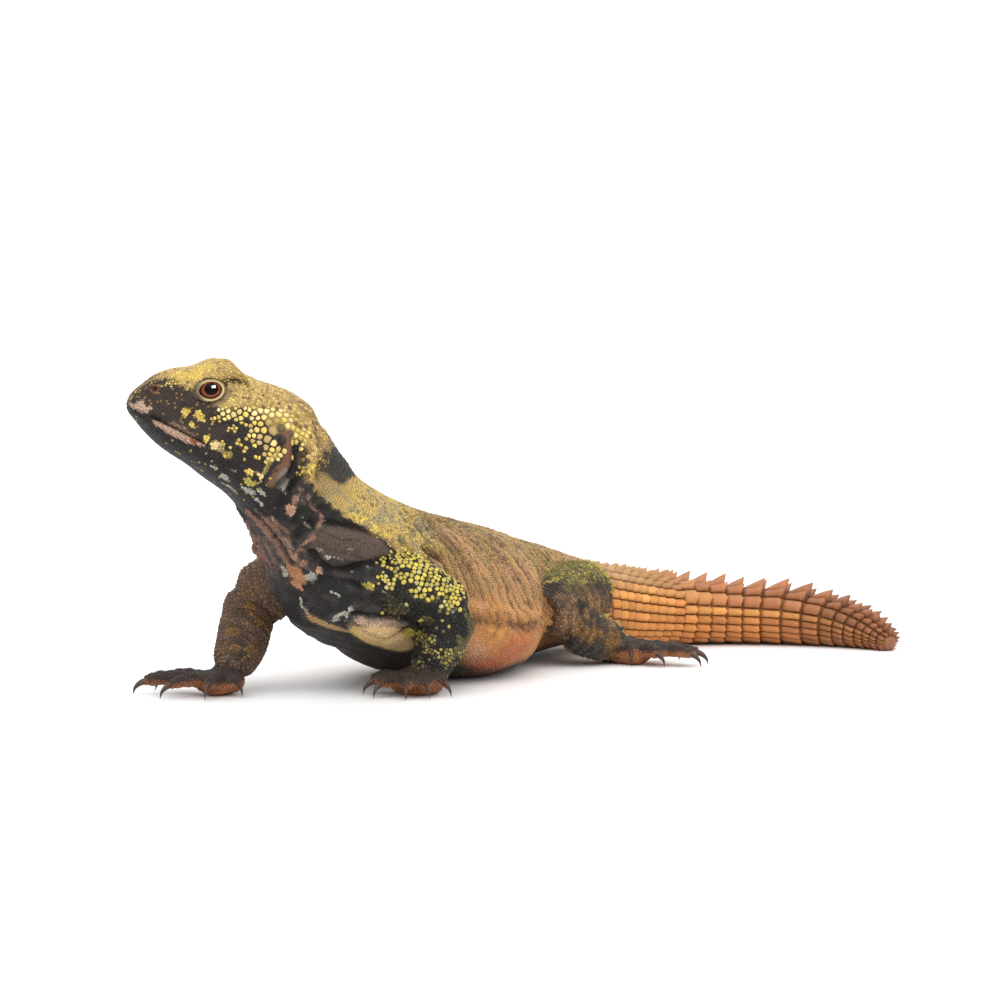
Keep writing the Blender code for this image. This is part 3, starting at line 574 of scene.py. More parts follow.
# folds of loose skin: places (distance, girth), half width, height (a crease is below 0)
folds = [
    ([(43, .91), (51, .906), (58, .878), (62.5, .844)], 1.3, 0.9),
    ([(45, .817), (53, .822), (59.5, .811), (64, .80)], 1.3, 1.0),
    ([(48, .86), (55, .865), (61, .84)], 0.8, -0.9),
    ([(57.5, .55), (58.5, .672), (59.5, .756), (61.5, .878)], 1.5, 1.3),
    ([(56.0, .50), (56.3, .66), (57.0, .78)], 1.0, -1.2),
    ([(50.5, .45), (50, .539), (50.5, .644), (51.5, .728)], 1.7, 1.5),
    ([(47.6, .46), (47.2, .56), (47.5, .70)], 1.0, -1.2),
    ([(53.5, .46), (53.3, .58), (53.6, .70)], 0.9, -0.9),
    ([(57, .62), (58.5, .56), (61, .517), (64, .494), (68.5, .461), (73, .45), (77, .461)],
        1.0, -1.2),
    ([(62, .728), (68, .733), (70, .672), (72, .594), (77, .50)], 1.1, -1.7),
    ([(59.5, .66), (64, .58), (69, .53)], 3.6, 1.7),
    ([(69, .878), (69.5, .772), (72.5, .711), (76, .68)], 1.1, -1.0),
    ([(72, .87), (73, .78), (76, .72)], 1.5, 0.7),
    ([(81.5, .828), (86, .828), (91.5, .80), (93.5, .72)], 0.9, -1.1),
    ([(85, .81), (91, .815), (98, .81)], 3.8, 1.6),
    ([(80, .79), (84, .745), (89, .70), (94, .67)], 1.0, -1.4),
    ([(104, .535), (112, .517), (120, .506), (128, .506), (139.5, .506), (146, .50)], 2.0, 1.1),
    ([(106, .585), (113, .578), (122, .562), (132, .556), (142, .535)], 1.6, -0.8),
    ([(86, .19), (90, .27), (95, .37), (99, .46)], .8, -1.3),
    ([(88, .19), (92, .27), (97, .37), (102, .47)], 1.2, .8),
    ([(92, .17), (97, .26), (103, .37), (109, .48)], .8, -1.3),
    ([(97, .17), (103, .28), (109, .39), (114, .48)], .8, -.9),
    ([(121, .24), (127, .33), (132, .42), (135, .49)], .8, -.9),
    ([(127, .22), (133, .31), (138, .41), (141, .49)], .9, -1.3),
    ([(130, .22), (136, .31), (141, .41), (143, .47)], 1.2, .8),
    ([(133, .21), (139, .31), (143, .40), (146, .47)], .8, -1.2),
    (armCrease, .8, -1.2),
    ([(85, .335), (90, .34), (95, .355)], 1.6, .9),
    # the ear: a broad fold in front, the pit behind it, and the crease along the jaw's flange
    (earFront, 1.0, 1.1), (earPit, .9, -1.7), (earFlange, .6, -.9),
    ([(46.4, .33), (48.2, .385), (49.0, .44)], 1.3, .7),
    ([(116, .70), (122, .64), (130, .62), (138, .62)], 3.2, 0.9),
    ([(119, .66), (121, .60), (122, .57)], 0.9, -0.8),
    ([(46.5, .05), (46.8, .16), (47.5, .26), (49, .34), (50.5, .42)], 1.1, -0.9),
    ([(43.5, .05), (43.6, .16), (44.2, .26), (46, .35), (48, .43)], 1.7, 0.7),
    ([(80, .20), (86, .30), (90, .40), (93, .48)], 1.5, -0.9),
    ([(84, .20), (90, .29), (95, .40), (98, .50)], 1.8, 0.6),
    ([(78, .40), (84, .44), (89, .50)], 1.4, -1.0),
    ([(146, .50), (149, .44), (151, .36), (150, .28)], 1.5, -1.1),
    ([(143, .49), (145, .42), (146, .34)], 1.8, 0.7),
    (browCrease, 0.65, -1.3),
    ([(17.5, .225), (19.5, .21), (22.5, .18)], 1.3, 0.5),
    ([(21, .305), (25, .29), (29, .30)], 0.9, 0.4),
    ([(11.5, .355), (15, .385), (19.5, .375), (22, .33)], 0.55, 0.35),
    ([(12, .38), (15.5, .41), (20, .40)], 0.5, -0.4),
    ([(57, .44), (62, .40), (68, .38), (75, .36)], 1.6, 0.5),
    ([(88, .22), (95, .30), (101, .42), (104, .50)], 1.3, -0.7),
    ([(93, .18), (101, .28), (107, .40), (111, .49)], 1.3, -0.7),
    ([(150, .52), (156, .47), (160, .38), (160, .28)], 1.6, -0.8),
]


def halfGirth(s):
    half, above, below = follow(sectionTable, s).T[:3]
    return math.pi / 2 * (half + (above + below) / 2)


def lineDistance(s, g, line):
    # distance in millimetres from a line of places, on the skin unrolled
    points = np.stack([s, halfGirth(s) * g], -1)
    line = np.array(line, float)
    line[:, 1] *= halfGirth(line[:, 0])
    best = np.full(len(points), 1e9)
    for a, b in zip(line[:-1], line[1:]):
        t = np.clip(((points - a) @ (b - a)) / ((b - a) @ (b - a)), 0, 1)
        best = np.minimum(best, np.linalg.norm(points - a - t[:, None] * (b - a), axis=1))
    return best


def foldRelief(info):
    out = np.zeros(len(info["s"]))
    body = np.nonzero((info["part"] == 0) & (info["s"] < 175))[0]
    xyz, s, g = info["xyz"][body], info["s"][body], info["g"][body]
    s = s + 1.2 * (cloud(xyz, 5.0, 5) - 0.5)
    strength = 0.55 + 0.75 * cloud(xyz, 6.0, 6)
    for line, width, height in folds:
        out[body] += height * strength * bell(lineDistance(s, g, line) / width)
    return out


def headPlace(points, place, side):
    # distance ahead, up and outwards of a place in the head
    d = points - headPoint(place, side)
    left, up, ahead = headAxes
    return d @ ahead, d @ up, (d @ left) * side


def openingTurn(ahead, up):
    # ahead and up, as directions or distances, turned to lie along and across the eye's opening
    turn = math.radians(headShape["openingTilt"])
    c, s = math.cos(turn), math.sin(turn)
    return ahead * c - up * s, ahead * s + up * c


def orbitPlace(points, side):
    # distance along and across the eye's opening, share of its oval (1 at its edge), outwards
    ahead, up, out = headPlace(points, headShape["eye"], side)
    along, across = openingTurn(ahead - headShape["openingAhead"], up)
    long, wide = headShape["opening"]
    return along, across, np.hypot(along / long, across / wide), out


def trunkWrinkle(xyz, s, g):
    # folds that run down the side and lean backwards, patchy: -1 in a valley, 1 on a ridge
    spacing, slant = skinLook["wrinkleSpacing"], skinLook["wrinkleLean"]
    lean = s - slant * g + 8.0 * fractal(xyz, 16.0, 11) + 2.2 * fractal(xyz, 5.0, 45)
    coarse = np.sin(2 * math.pi * lean / spacing + 3.0 * cloud(xyz, 7.0, 16))
    fine = np.sin(2 * math.pi * (lean + 2.4 * cloud(xyz, 5.0, 12)) / (0.46 * spacing))
    zone = within(s, 84, 208, 9) * ramp(g, 0.04, 0.14) * ramp(g, 0.68, 0.5)
    mostly = cloud(xyz, 10.0, 17)
    wave = 0.75 * coarse * mostly + 0.45 * fine * (1.1 - mostly)
    return wave * (0.35 + 0.65 * cloud(xyz, 4.0, 46)) * zone


def limbWrinkle(xyz, s):
    # creases across a limb
    return np.sin(2 * math.pi * (s + 3.0 * cloud(xyz, 5.0, 18)) / 3.0) * cloud(xyz, 8.0, 19)


def relief(info):
    # how far each point of the skin moves along its normal, in millimetres
    xyz, s, g = info["xyz"], info["s"], info["g"]
    body = info["part"] == 0
    rise = np.full(len(s), -skinLook["inset"])
    rise += foldRelief(info)
    rise += 0.5 * body * bell((s - 25.5) / 2.2) * ramp(g, 0.27, 0.12)  # back of the brows
    rise += skinLook["wrinkle"] * body * trunkWrinkle(xyz, s, g)
    # neck and throat: rings of small folds
    ring = np.sin(2 * math.pi * (s + 2.5 * cloud(xyz, 6.0, 13)) / 2.3)
    rise += 0.16 * body * within(s, 45, 70, 4) * ramp(g, 0.3, 0.55) * ring
    rise += 0.16 * body * within(s, 46, 60, 2) * ramp(g, 0.34, 0.24) * np.sin(2 * math.pi * s / 1.5)
    rise += (fractal(xyz, 7.0, 14) - 0.5) * 0.9 * (body * ramp(s, 30, 60))
    limb = info["part"] > 0
    rise += limb * ((fractal(xyz, 5.0, 15) - 0.5) * 0.9 + 0.3 * limbWrinkle(xyz, s))
    # lips, and the closed mouth between them
    _, _, up, _ = frames(spineTable, s)
    high = ((xyz - follow(spineTable, s)) * up).sum(-1)
    lip = body * ramp(s, headShape["mouthBack"] + 1.5, headShape["mouthBack"] - 2)
    lip *= ramp(s, -1.5, 3.0)
    rise += lip * (0.2 * bell((np.abs(high) - 1.3) / 0.9) - 0.95 * bell(high / 0.42))
    for side in (1, -1):
        _, upward, ring, out = orbitPlace(xyz, side)
        near = body * (out > -1.0) * (s < 30)
        rise -= near * 0.4 * bell((ring - 1.5) / 0.12)  # crease round the lids
        rise += near * 0.3 * bell((ring - 1.95) / 0.2) * ramp(upward, 1.5, -1.5)
        ahead, upward, out = headPlace(xyz, headShape["nostril"], side)
        far = np.sqrt(ahead**2 + upward**2 + (out * 0.6) ** 2)
        near = body * (s < 8)
        rise += near * (0.35 * bell((far - 1.5) / 0.5) - 1.5 * bell(far / 0.75))
    return rise


def eyeSocket(points):
    # inside the lids' opening the skin is pushed back behind the eyeball
    for side in (1, -1):
        _, _, ring, out = orbitPlace(points, side)
        depth = out - np.minimum(out, 1.6)
        push = depth * ramp(ring, 1.5, 1.15) * (np.abs(out) < 8) * (ring < 2)
        points = points - (headAxes[0] * side) * push[:, None]
    return points


def sphere(centre, radius, rows=14, columns=24):
    turn = (np.arange(rows) + 0.5) / rows * math.pi
    ring = circle(columns)
    rings = np.stack([
        np.sin(turn)[:, None] * np.cos(ring), np.sin(turn)[:, None] * np.sin(ring),
        np.cos(turn)[:, None] * np.ones(columns),
    ], axis=-1)
    return tubeSurface(centre + radius * rings)


def blended(obj, voxel, smoothing):
    # one surface round overlapping closed forms, from a grid of small cubes
    remesh = obj.modifiers.new("blend", "REMESH")
    remesh.mode = "VOXEL"
    remesh.voxel_size = voxel * mm
    soften = obj.modifiers.new("soften", "SMOOTH")
    soften.factor = 0.5
    soften.iterations = smoothing
    graph = bpy.context.evaluated_depsgraph_get()
    mesh = bpy.data.meshes.new_from_object(obj.evaluated_get(graph))
    obj.modifiers.clear()
    obj.data = mesh


def refine(mesh, chosen):
    # split the chosen faces once more, each edge in two
    work = bmesh.new()
    work.from_mesh(mesh)
    work.faces.ensure_lookup_table()
    edges = {edge for index in chosen for edge in work.faces[index].edges}
    bmesh.ops.subdivide_edges(work, edges=list(edges), cuts=1, use_grid_fill=True)
    bmesh.ops.triangulate(work, faces=[f for f in work.faces if len(f.verts) > 4])
    work.to_mesh(mesh)
    work.free()


def faceCentres(mesh):
    centres = np.empty(len(mesh.polygons) * 3, np.float32)
    mesh.polygons.foreach_get("center", centres)
    return centres.reshape(-1, 3).astype(float) / mm


def buildSkin():
    at = np.concatenate([[-1.9, -1.6, -1.2, -0.8], np.arange(-0.2, tailEnd, 1.1)])
    surfaces = [tubeSurface(bodyRings(at, circle(120)))]
    for k in range(1, len(tubes)):
        first, last = tubes[k]["ends"]
        share = 0.5 - 0.5 * np.cos(np.linspace(0, math.pi, max(12, int(last - first))))
        at = first + (last - first) * share
        surfaces.append(tubeSurface(tubeRings(k, at, circle(28))))
    for side in (1, -1):
        surfaces.append(sphere(headPoint(headShape["eye"], side), headShape["lidRadius"] - 0.4))
    points, faces = join(surfaces)
    obj = makeObject("skin", points, faces, skinFinish)
    blended(obj, skinLook["voxel"], 3)
    mesh = obj.data
    centres = faceCentres(mesh)
    info = anatomy(centres)
    # finer where folds show: the head and neck all round, the trunk's back and sides
    fine = (info["part"] == 0) & (info["s"] < 200)
    fine &= info["g"] < np.where(info["s"] < 100, 1.0, 0.66)
    refine(mesh, np.nonzero(fine)[0])
    points, normals = readMesh(mesh)
    info = anatomy(points)
    points = eyeSocket(points + normals * relief(info)[:, None])
    points[:, 2] = np.maximum(points[:, 2], 0.15)
    mesh.vertices.foreach_set("co", (points * mm).ravel())
    mesh.polygons.foreach_set("use_smooth", np.ones(len(mesh.polygons), bool))
    mesh.update()
    return obj, info


skin, skinInfo = buildSkin()
skinPoints = readMesh(skin.data)[0]
skinInfo["xyz"] = skinPoints
print("skin", len(skin.data.polygons), "faces")

# colours of the markings, which are the same for the skin and the scales
tint = {name: linear(code) for name, code in {
    "crown": "#c6a866", "crownLight": "#e2c475", "crownShade": "#917440",
    "charcoal": "#1e1a18", "warmCharcoal": "#3b2f28", "lip": "#c3a38f", "band": "#bd9a83",
    "rust": "#8f4a2c", "yellow": "#dbbd5e", "paleYellow": "#e4cc88", "yellowGreen": "#b3a24c",
    "spot": "#a7a698", "salmon": "#946c59", "peach": "#c39270", "tan": "#b57d58",
    "olive": "#9c8350", "shoulder": "#c0a25c", "greyGreen": "#7f8170", "nape": "#38332d",
    "back": "#aa8b55", "backShade": "#78633d", "flank": "#b68a5c", "orange": "#ba8147",
    "red": "#b05c3a", "pouch": "#54453b", "chest": "#1d1a19", "chestGrey": "#3c3734",
    # the belly's near black on the next line is painted shade on the underside
    "cream": "#cfae7c", "belly": "#241b14", "bellyBrown": "#5d4029",
    "leg": "#3e362e", "legTan": "#876749", "spineGreen": "#a0924c", "armBlack": "#1b1916",
    "armYellow": "#c9b552", "armOlive": "#655b36", "armBrown": "#6a5242", "ochre": "#85602f",
    "hand": "#3f322a", "pad": "#9c6540", "toe": "#3d322d",
    "tailTop": "#ae8455", "tailBrown": "#ad7148", "tailSide": "#c07a3d", "tailLight": "#dc9c52",
    "tailSeam": "#6f3418", "tailUnder": "#684428", "tailTip": "#8b5a3a",
    # the next line ends with the near black laid as painted shade in creases, slits and pits
    "nostril": "#8c563c", "lid": "#d0b98c", "orbit": "#8c7b5f", "groove": "#171310",
    "ear": "#7d5640", "earPale": "#8f887c", "streak": "#99745f", "yellowTan": "#b3905c",
    # the next line starts with the red-brown laid as painted shadow below the trunk's lateral fold
    "underFold": "#8a5f45", "backGreen": "#8b7c50", "pinkish": "#b98a70",
    "eyeBlack": "#050303", "iris": "#3a1710", "irisRing": "#bd7250", "irisEdge": "#642c1d",
    "eyeRim": "#1a0f0b", "claw": "#49342b",
}.items()}

# blotches: distance, girth, reach along and across in mm, colour
blotches = [
    (1.0, .486, 2.0, 1.6, "lip"), (3.2, .488, 1.1, .9, "lip"), (8.4, .56, 2.2, 1.6, "band"),
    (12.5, .55, 3.2, 2.5, "band"), (16.0, .545, 3.0, 2.4, "band"), (19.8, .535, 1.8, 1.2, "band"),
    (18.4, .552, 1.3, .9, "rust"), (17.0, .395, 1.8, .8, "yellow"), (12.9, .40, 1.1, 1.0, "yellow"),
    (15.8, .45, .8, .6, "yellow"), (21.0, .47, .9, .9, "yellow"),
    (24.5, .495, 2.0, 1.0, "paleYellow"), (28, .505, 1.4, 1.1, "yellow"),
    (36.8, .55, 1.5, 1.5, "yellow"), (37.5, .62, 1.6, 2.0, "yellowGreen"),
    (31.0, .73, 1.6, 1.4, "spot"), (39.0, .70, 2.2, 1.3, "spot"), (33.5, .80, 2.6, .9, "spot"),
    (44.0, .73, 1.8, 1.0, "spot"), (42, .66, 1.2, 1.0, "spot"), (27, .70, 1.2, .8, "spot"),
    (45.2, .505, 1.0, 1.6, "earPale"), (46.5, .545, 1.4, 1.2, "spot"),
    (39.4, .46, .9, 2.6, "yellow"), (39.4, .52, .8, 1.6, "paleYellow"),
    (48.8, .40, 1.3, 1.4, "yellow"), (50.3, .645, 1.6, 1.3, "peach"),
    (65.5, .885, 3.2, 2.6, "tan"), (68.5, .93, 1.6, 1.4, "tan"), (67.5, .775, 1.1, .8, "peach"),
    (66, .70, 1.2, .8, "spot"), (64.5, .955, 2.0, 1.2, "spot"), (68.0, .83, 1.1, 2.2, "spot"),
    (74.0, .95, 1.6, .7, "spot"), (73.5, .79, 1.4, .6, "spot"), (78.5, .84, .9, 2.2, "spot"),
    (79.5, .79, .8, 1.6, "spot"), (77, .66, 1.1, 1.0, "yellowGreen"),
    (78.5, .60, 1.2, .9, "yellow"),
    (92.0, .82, 9.0, 5.6, "cream"), (95, .74, 2.0, 2.4, "yellowGreen"),
    (74.0, .44, 1.8, 1.0, "peach"),
    (71.0, .43, 3.0, 1.1, "yellow"), (65.0, .42, 1.8, 1.0, "yellow"), (80, .47, 2.5, 1.2, "yellow"),
    (122, .525, 3.0, 1.5, "orange"), (121, .57, 2.8, 3.2, "tailLight"),
    (113, .59, 3.0, 4.0, "orange"), (131, .66, 7.0, 7.5, "red"), (127, .76, 6, 2.6, "red"),
    (13, .33, 1.2, .9, "warmCharcoal"), (122, .49, 2.0, 1.0, "tailLight"),
]
# how far the edge of a blotch is blended, by its colour; 0.1 for all others
blotchBlur = {
    "salmon": 0.45, "red": 0.6, "orange": 0.6, "tailLight": 0.5, "cream": 0.25, "band": 0.25,
}
# strokes: places along the line, half width, colour, how solid
# strokes in the crease colour are painted shade: in the creases of the neck, arm and brow, the
# mouth's slit, the ear's pit and the crease along the jaw's flange
strokes = [
    ([(43, .90), (50, .895), (57, .875), (62, .85)], 1.0, "salmon", .75),
    ([(45, .82), (52, .825), (58.5, .815), (62, .81)], .9, "salmon", .75),
    ([(47, .78), (53, .775), (57, .77)], .5, "salmon", .6),
    ([(47, .86), (54, .86), (60, .845)], .55, "charcoal", .8),
    ([(58.3, .56), (58.3, .64), (59, .70), (60, .76), (61.5, .83)], .6, "streak", .8),
    ([(59.5, .74), (61.5, .78), (64, .82)], .8, "salmon", .8),
    ([(48.5, .50), (49.5, .55), (50.3, .60), (50.5, .65)], .8, "streak", .8),
    ([(51.5, .50), (54, .53), (57.5, .545)], .6, "streak", .7),
    ([(55, .56), (55.6, .66), (57, .74)], .9, "charcoal", .85),
    ([(60, .61), (66, .55), (72, .495), (77, .465)], .3, "groove", .5),
    ([(61, .66), (67, .62), (72, .57), (77, .51)], .3, "groove", .45),
    ([(62, .728), (68, .733), (70, .672), (73, .60), (77, .50)], .7, "groove", .7),
    ([(77, .945), (79, .915), (81, .90), (83.5, .897)], 1.4, "yellowTan", .85),
    ([(82, .79), (86, .75), (91, .715)], 1.1, "lip", .7),
    (armCrease, .8, "groove", .7),
    ([(84, .335), (90, .34), (95, .355)], 1.3, "yellowGreen", .5),
    ([(84, .85), (88, .868), (92, .872), (97, .865)], 1.2, "yellow", .75),
    (browCrease, .5, "groove", .84),
    ([(3, .515), (8, .51), (14, .503), (21.5, .505)], .42, "groove", .9),
    (earFront, 1.15, "ear", 1.),
    ([(43.3, .35), (44.6, .39), (44.8, .44), (44.7, .47)], .85, "groove", 1.),
    ([(44.0, .47), (44.3, .50), (44.2, .54)], 1.1, "earPale", .85),
    (earFlange, .5, "groove", .85),
    # painted shadow below the trunk's lateral fold
    ([(106, .585), (113, .575), (122, .562), (132, .56), (142, .555)], 2.2, "underFold", .6),
]
# boundary of the yellow crown, as girth at distances from the snout
crownEdge = np.array([
    (-2, .10), (1, .17), (3, .20), (5, .235), (7, .27), (10, .285), (12, .28), (14, .262),
    (17, .30), (19, .335), (21, .34), (23, .33), (25, .315), (29, .305), (32, .315), (38, .34),
    (42, .37), (45, .39), (48, .42), (52, .40), (56, .40),
])


def layered(c, layers):
    # lays colours over one another: each a colour or its name, and how far it covers
    for colour, amount in layers:
        c = mixed(c, tint[colour] if isinstance(colour, str) else colour, amount)
    return c


def trunkColour(p):
    # trunk, from the back down to the belly
    s, g, n1, n2, width = p["s"], p["g"], p["n1"], p["n2"], p["width"]
    # faint patches over the back and flanks, drawn out along the folds
    drawn = np.stack([s - 40 * g, width * g * 0.4, 0 * s], -1)
    green = ramp(fractal(drawn, 5.0, 47), 0.5, 0.66) * within(s, 86, 210, 8)
    pink = ramp(fractal(drawn, 4.0, 48), 0.54, 0.7) * within(s, 90, 200, 8)
    c = layered(tint["back"], [
        ("backShade", 0.7 * ramp(n2, 0.45, 0.72) * ramp(g, 0.42, 0.1)),
        ("olive", ramp(s, 112, 80) * 0.7),
        ("flank", ramp(g + 0.15 * (n1 - 0.5), 0.22, 0.36) * ramp(s, 84, 104)),
        ("orange", ramp(g + 0.25 * (n1 - 0.5), 0.42, 0.56) * ramp(s, 96, 112) * 0.8),
        ("flank", ramp(s, 150, 200) * 0.5),
        ("backGreen", green * ramp(g, 0.5, 0.35) * 0.6),
        ("pinkish", pink * ramp(g, 0.1, 0.25) * 0.45),
    ])
    c = c * (1 + 0.14 * ramp(s, 120, 150) * ramp(g, 0.42, 0.28))[:, None]
    # painted shade: the underside is painted near black, with brown patches that grow further back
    belly = mixed(tint["belly"], tint["bellyBrown"], ramp(n1, 0.35, 0.7) * ramp(s, 92, 125))
    fleck = within(s, 54, 92, 5) * ramp(n2, 0.48, 0.62)
    return layered(c, [
        ("tailTop", ramp(s, 192, 222)),
        ("tailSide", ramp(s, 196, 222) * ramp(g, 0.28, 0.44) * 0.8),
        (belly, ramp(g + 0.12 * (n1 - 0.5), 0.68, 0.79) * ramp(s, 222, 196)),
        # shoulders: olive yellow, flecked with blue-grey
        ("shoulder", within(s, 57, 88, 5) * ramp(g, 0.5, 0.42) * 0.9),
        ("greyGreen", fleck * ramp(g, 0.5, 0.4) * 0.6),
    ])


def chestColour(c, p):
    # chest and throat, charcoal, with pale streaks on the throat
    s, g, n2, width, sw, gw = p["s"], p["g"], p["n2"], p["width"], p["sw"], p["gw"]
    low = mixed(tint["chest"], tint["chestGrey"], ramp(n2, 0.4, 0.75))
    chestAt, pouchAt = [40, 52, 60, 68, 76, 84, 92, 100], [58, 64, 70, 77]
    top = np.interp(sw, chestAt, [.47, .46, .47, .455, .455, .50, .62, .74])
    throat = np.interp(s, [43, 52, 60, 67], [.85, .74, .62, .72])
    streak = np.stack([0.32 * s + 0.2 * width * g, width * g - 0.5 * s, 0 * s], -1)
    pale = mixed(tint["chestGrey"], tint["salmon"], ramp(fractal(streak, 2.0, 37), 0.5, 0.68))
    pouchTop = np.interp(s, pouchAt, [.58, .49, .455, .455])
    pouchEnd = np.interp(s, pouchAt, [.70, .72, .62, .50])
    return layered(c, [
        (low, ramp(gw, top - 0.008, top + 0.008) * ramp(s, 104, 98)),
        (pale, within(sw, 43, 67, 2) * ramp(gw, throat - 0.02, throat + 0.02) * 0.7),
        ("pouch", within(sw, 59.5, 77.5, 1.0) * within(gw, pouchTop, pouchEnd, 0.012)),
    ])


def headColour(c, p):
    # charcoal sides and jaw under a yellow crown, and the dark nape behind it
    s, g, n1, n2, sw, gw = p["s"], p["g"], p["n1"], p["n2"], p["sw"], p["gw"]
    face = mixed(tint["warmCharcoal"], tint["charcoal"], ramp(g, 0.42, 0.6) + 0.9 * (n2 - 0.5))
    edge = np.interp(sw, crownEdge[:, 0], crownEdge[:, 1])
    crown = layered(tint["crown"], [
        ("crownLight", ramp(n2, 0.45, 0.7) * ramp(s, 34, 12)),
        ("crownShade", ramp(n1, 0.45, 0.65) * ramp(s, 8, 24) * 0.5),
        ("yellow", ramp(n2, 0.5, 0.6) * within(s, 4, 13, 2) * ramp(g, 0.12, 0.2)),
        ("warmCharcoal", ramp(s, 4.5, 0.5) * 0.75),
    ])
    napeEnd = np.interp(g, [0, .2, .36], [63, 60, 55])
    return layered(c, [
        (face, ramp(s, 49.5, 47.5)),
        (crown, ramp(gw, edge + 0.012, edge - 0.012) * ramp(s, 50.5, 48.5)),
        ("nape", ramp(gw, 0.36, 0.33) * within(sw, 49.0, napeEnd, 0.8)),
    ])


def drawnMarks(c, p):
    # the blotches and strokes of the tables above
    s, g, xyz, width, sw, gw = p["s"], p["g"], p["xyz"], p["width"], p["sw"], p["gw"]
    for along, around, reach, across, name in blotches:
        ds, dg = (sw - along) / reach, (gw - around) * width / across
        blur = blotchBlur.get(name, 0.1)
        amount = ramp(np.hypot(ds, dg), 1.0 + blur, 1.0 - blur) * (1 - 0.3 * (blur > 0.4))
        # the loose pale skin and the patches near it are on the left side alone
        c = mixed(c, tint[name], amount * ((p["side"] > 0) | (around < 0.81)))
    sf, gf = s + 0.45 * (sw - s), g + 0.45 * (gw - g)
    for line, reach, name, solid in strokes:
        ends = np.ptp([q[0] for q in line]) / 2 + 3 * reach + 3
        near = np.abs(s - np.mean([q[0] for q in line])) < ends + 3
        d = lineDistance(sf[near], gf[near], line)
        torn = 1.0 if solid > 0.84 else ramp(cloud(xyz[near], 1.6, 43), 0.15, 0.6)
        amount = ramp(d, 1.35 * reach, 0.65 * reach) * solid * torn
        left = (p["side"][near] > 0) | (line[0][1] < 0.84) | (s[near] < 64)
        c[near] = mixed(c[near], tint[name], amount * left)
    return c


def bodyMarkings(info):
    xyz, s, g = info["xyz"], info["s"], info["g"]
    width = halfGirth(s)
    # places shifted by noise, which gives every marking a ragged outline
    loose = 0.6 + 0.4 * ramp(s, 18, 45)
    shift = [
        loose * (3.6 * (fractal(xyz, 4.2, seed) - 0.5) + 1.2 * (cloud(xyz, 1.3, seed + 2) - 0.5))
        for seed in (33, 34)
    ]
    p = {
        **info, "width": width, "sw": s + shift[0], "gw": g + shift[1] / width,
        "n1": fractal(xyz, 9.0, 21), "n2": fractal(xyz, 3.2, 22),
    }
    c = drawnMarks(headColour(chestColour(trunkColour(p), p), p), p)
    # small dark flecks and dashes on the back, pale flecks on the chest and jaw
    dark = ramp(cloud(xyz, 1.7, 39), 0.72, 0.82) * within(s, 60, 215, 8) * ramp(g, 0.42, 0.3)
    dashes = cloud(np.stack([s - 40 * g, width * g * 0.45, 0 * s], -1), 1.3, 49)
    dashes = ramp(dashes, 0.7, 0.82) * within(s, 88, 205, 8) * ramp(g, 0.66, 0.5)
    pale = ramp(cloud(np.stack([0.5 * s, width * g, 0 * s], -1), 1.1, 40), 0.78, 0.86)
    c = layered(c, [
        ("charcoal", dark * 0.55),
        (tint["backShade"] * 0.6, dashes * 0.6),
        ("spot", pale * within(s, 20, 96, 4) * within(g, 0.56, 0.86, 0.05) * 0.45),
    ])
    # painted shade in the creases and in the valleys between folds and wrinkles, a little painted
    # light on the ridges
    fold = foldRelief(info)
    c = c * (1.0 + 0.5 * np.clip(fold, -1.2, 0) + 0.12 * np.clip(fold, 0, 1.2))[:, None]
    wrinkle = trunkWrinkle(xyz, s, g)
    c = c * (1.0 + np.where(wrinkle < 0, 0.7, 0.2) * wrinkle)[:, None]
    for side in (1, -1):
        ahead, up, out = headPlace(xyz, headShape["nostril"], side)
        far = np.sqrt(ahead**2 + up**2 + out**2)
        along, across, ring, out = orbitPlace(xyz, side)
        near = (out > 0) * (s < 30)
        low = near * ramp(ring, 2.15, 1.8) * ramp(along, 1.5, -1.0) * ramp(across, 0.6, -0.8)
        c = layered(c, [
            ("nostril", ramp(far + 1.4 * p["n2"], 2.7, 1.9) * (s < 8)),
            # painted shade in the nostril's hole
            ("groove", ramp(far, 0.95, 0.7) * (s < 8)),
            ("orbit", low * 0.8),
            # painted shade in the crease round the lids
            (tint["orbit"] * 0.6, near * ramp(ring, 1.55, 1.4) * 0.8),
        ])
    return c


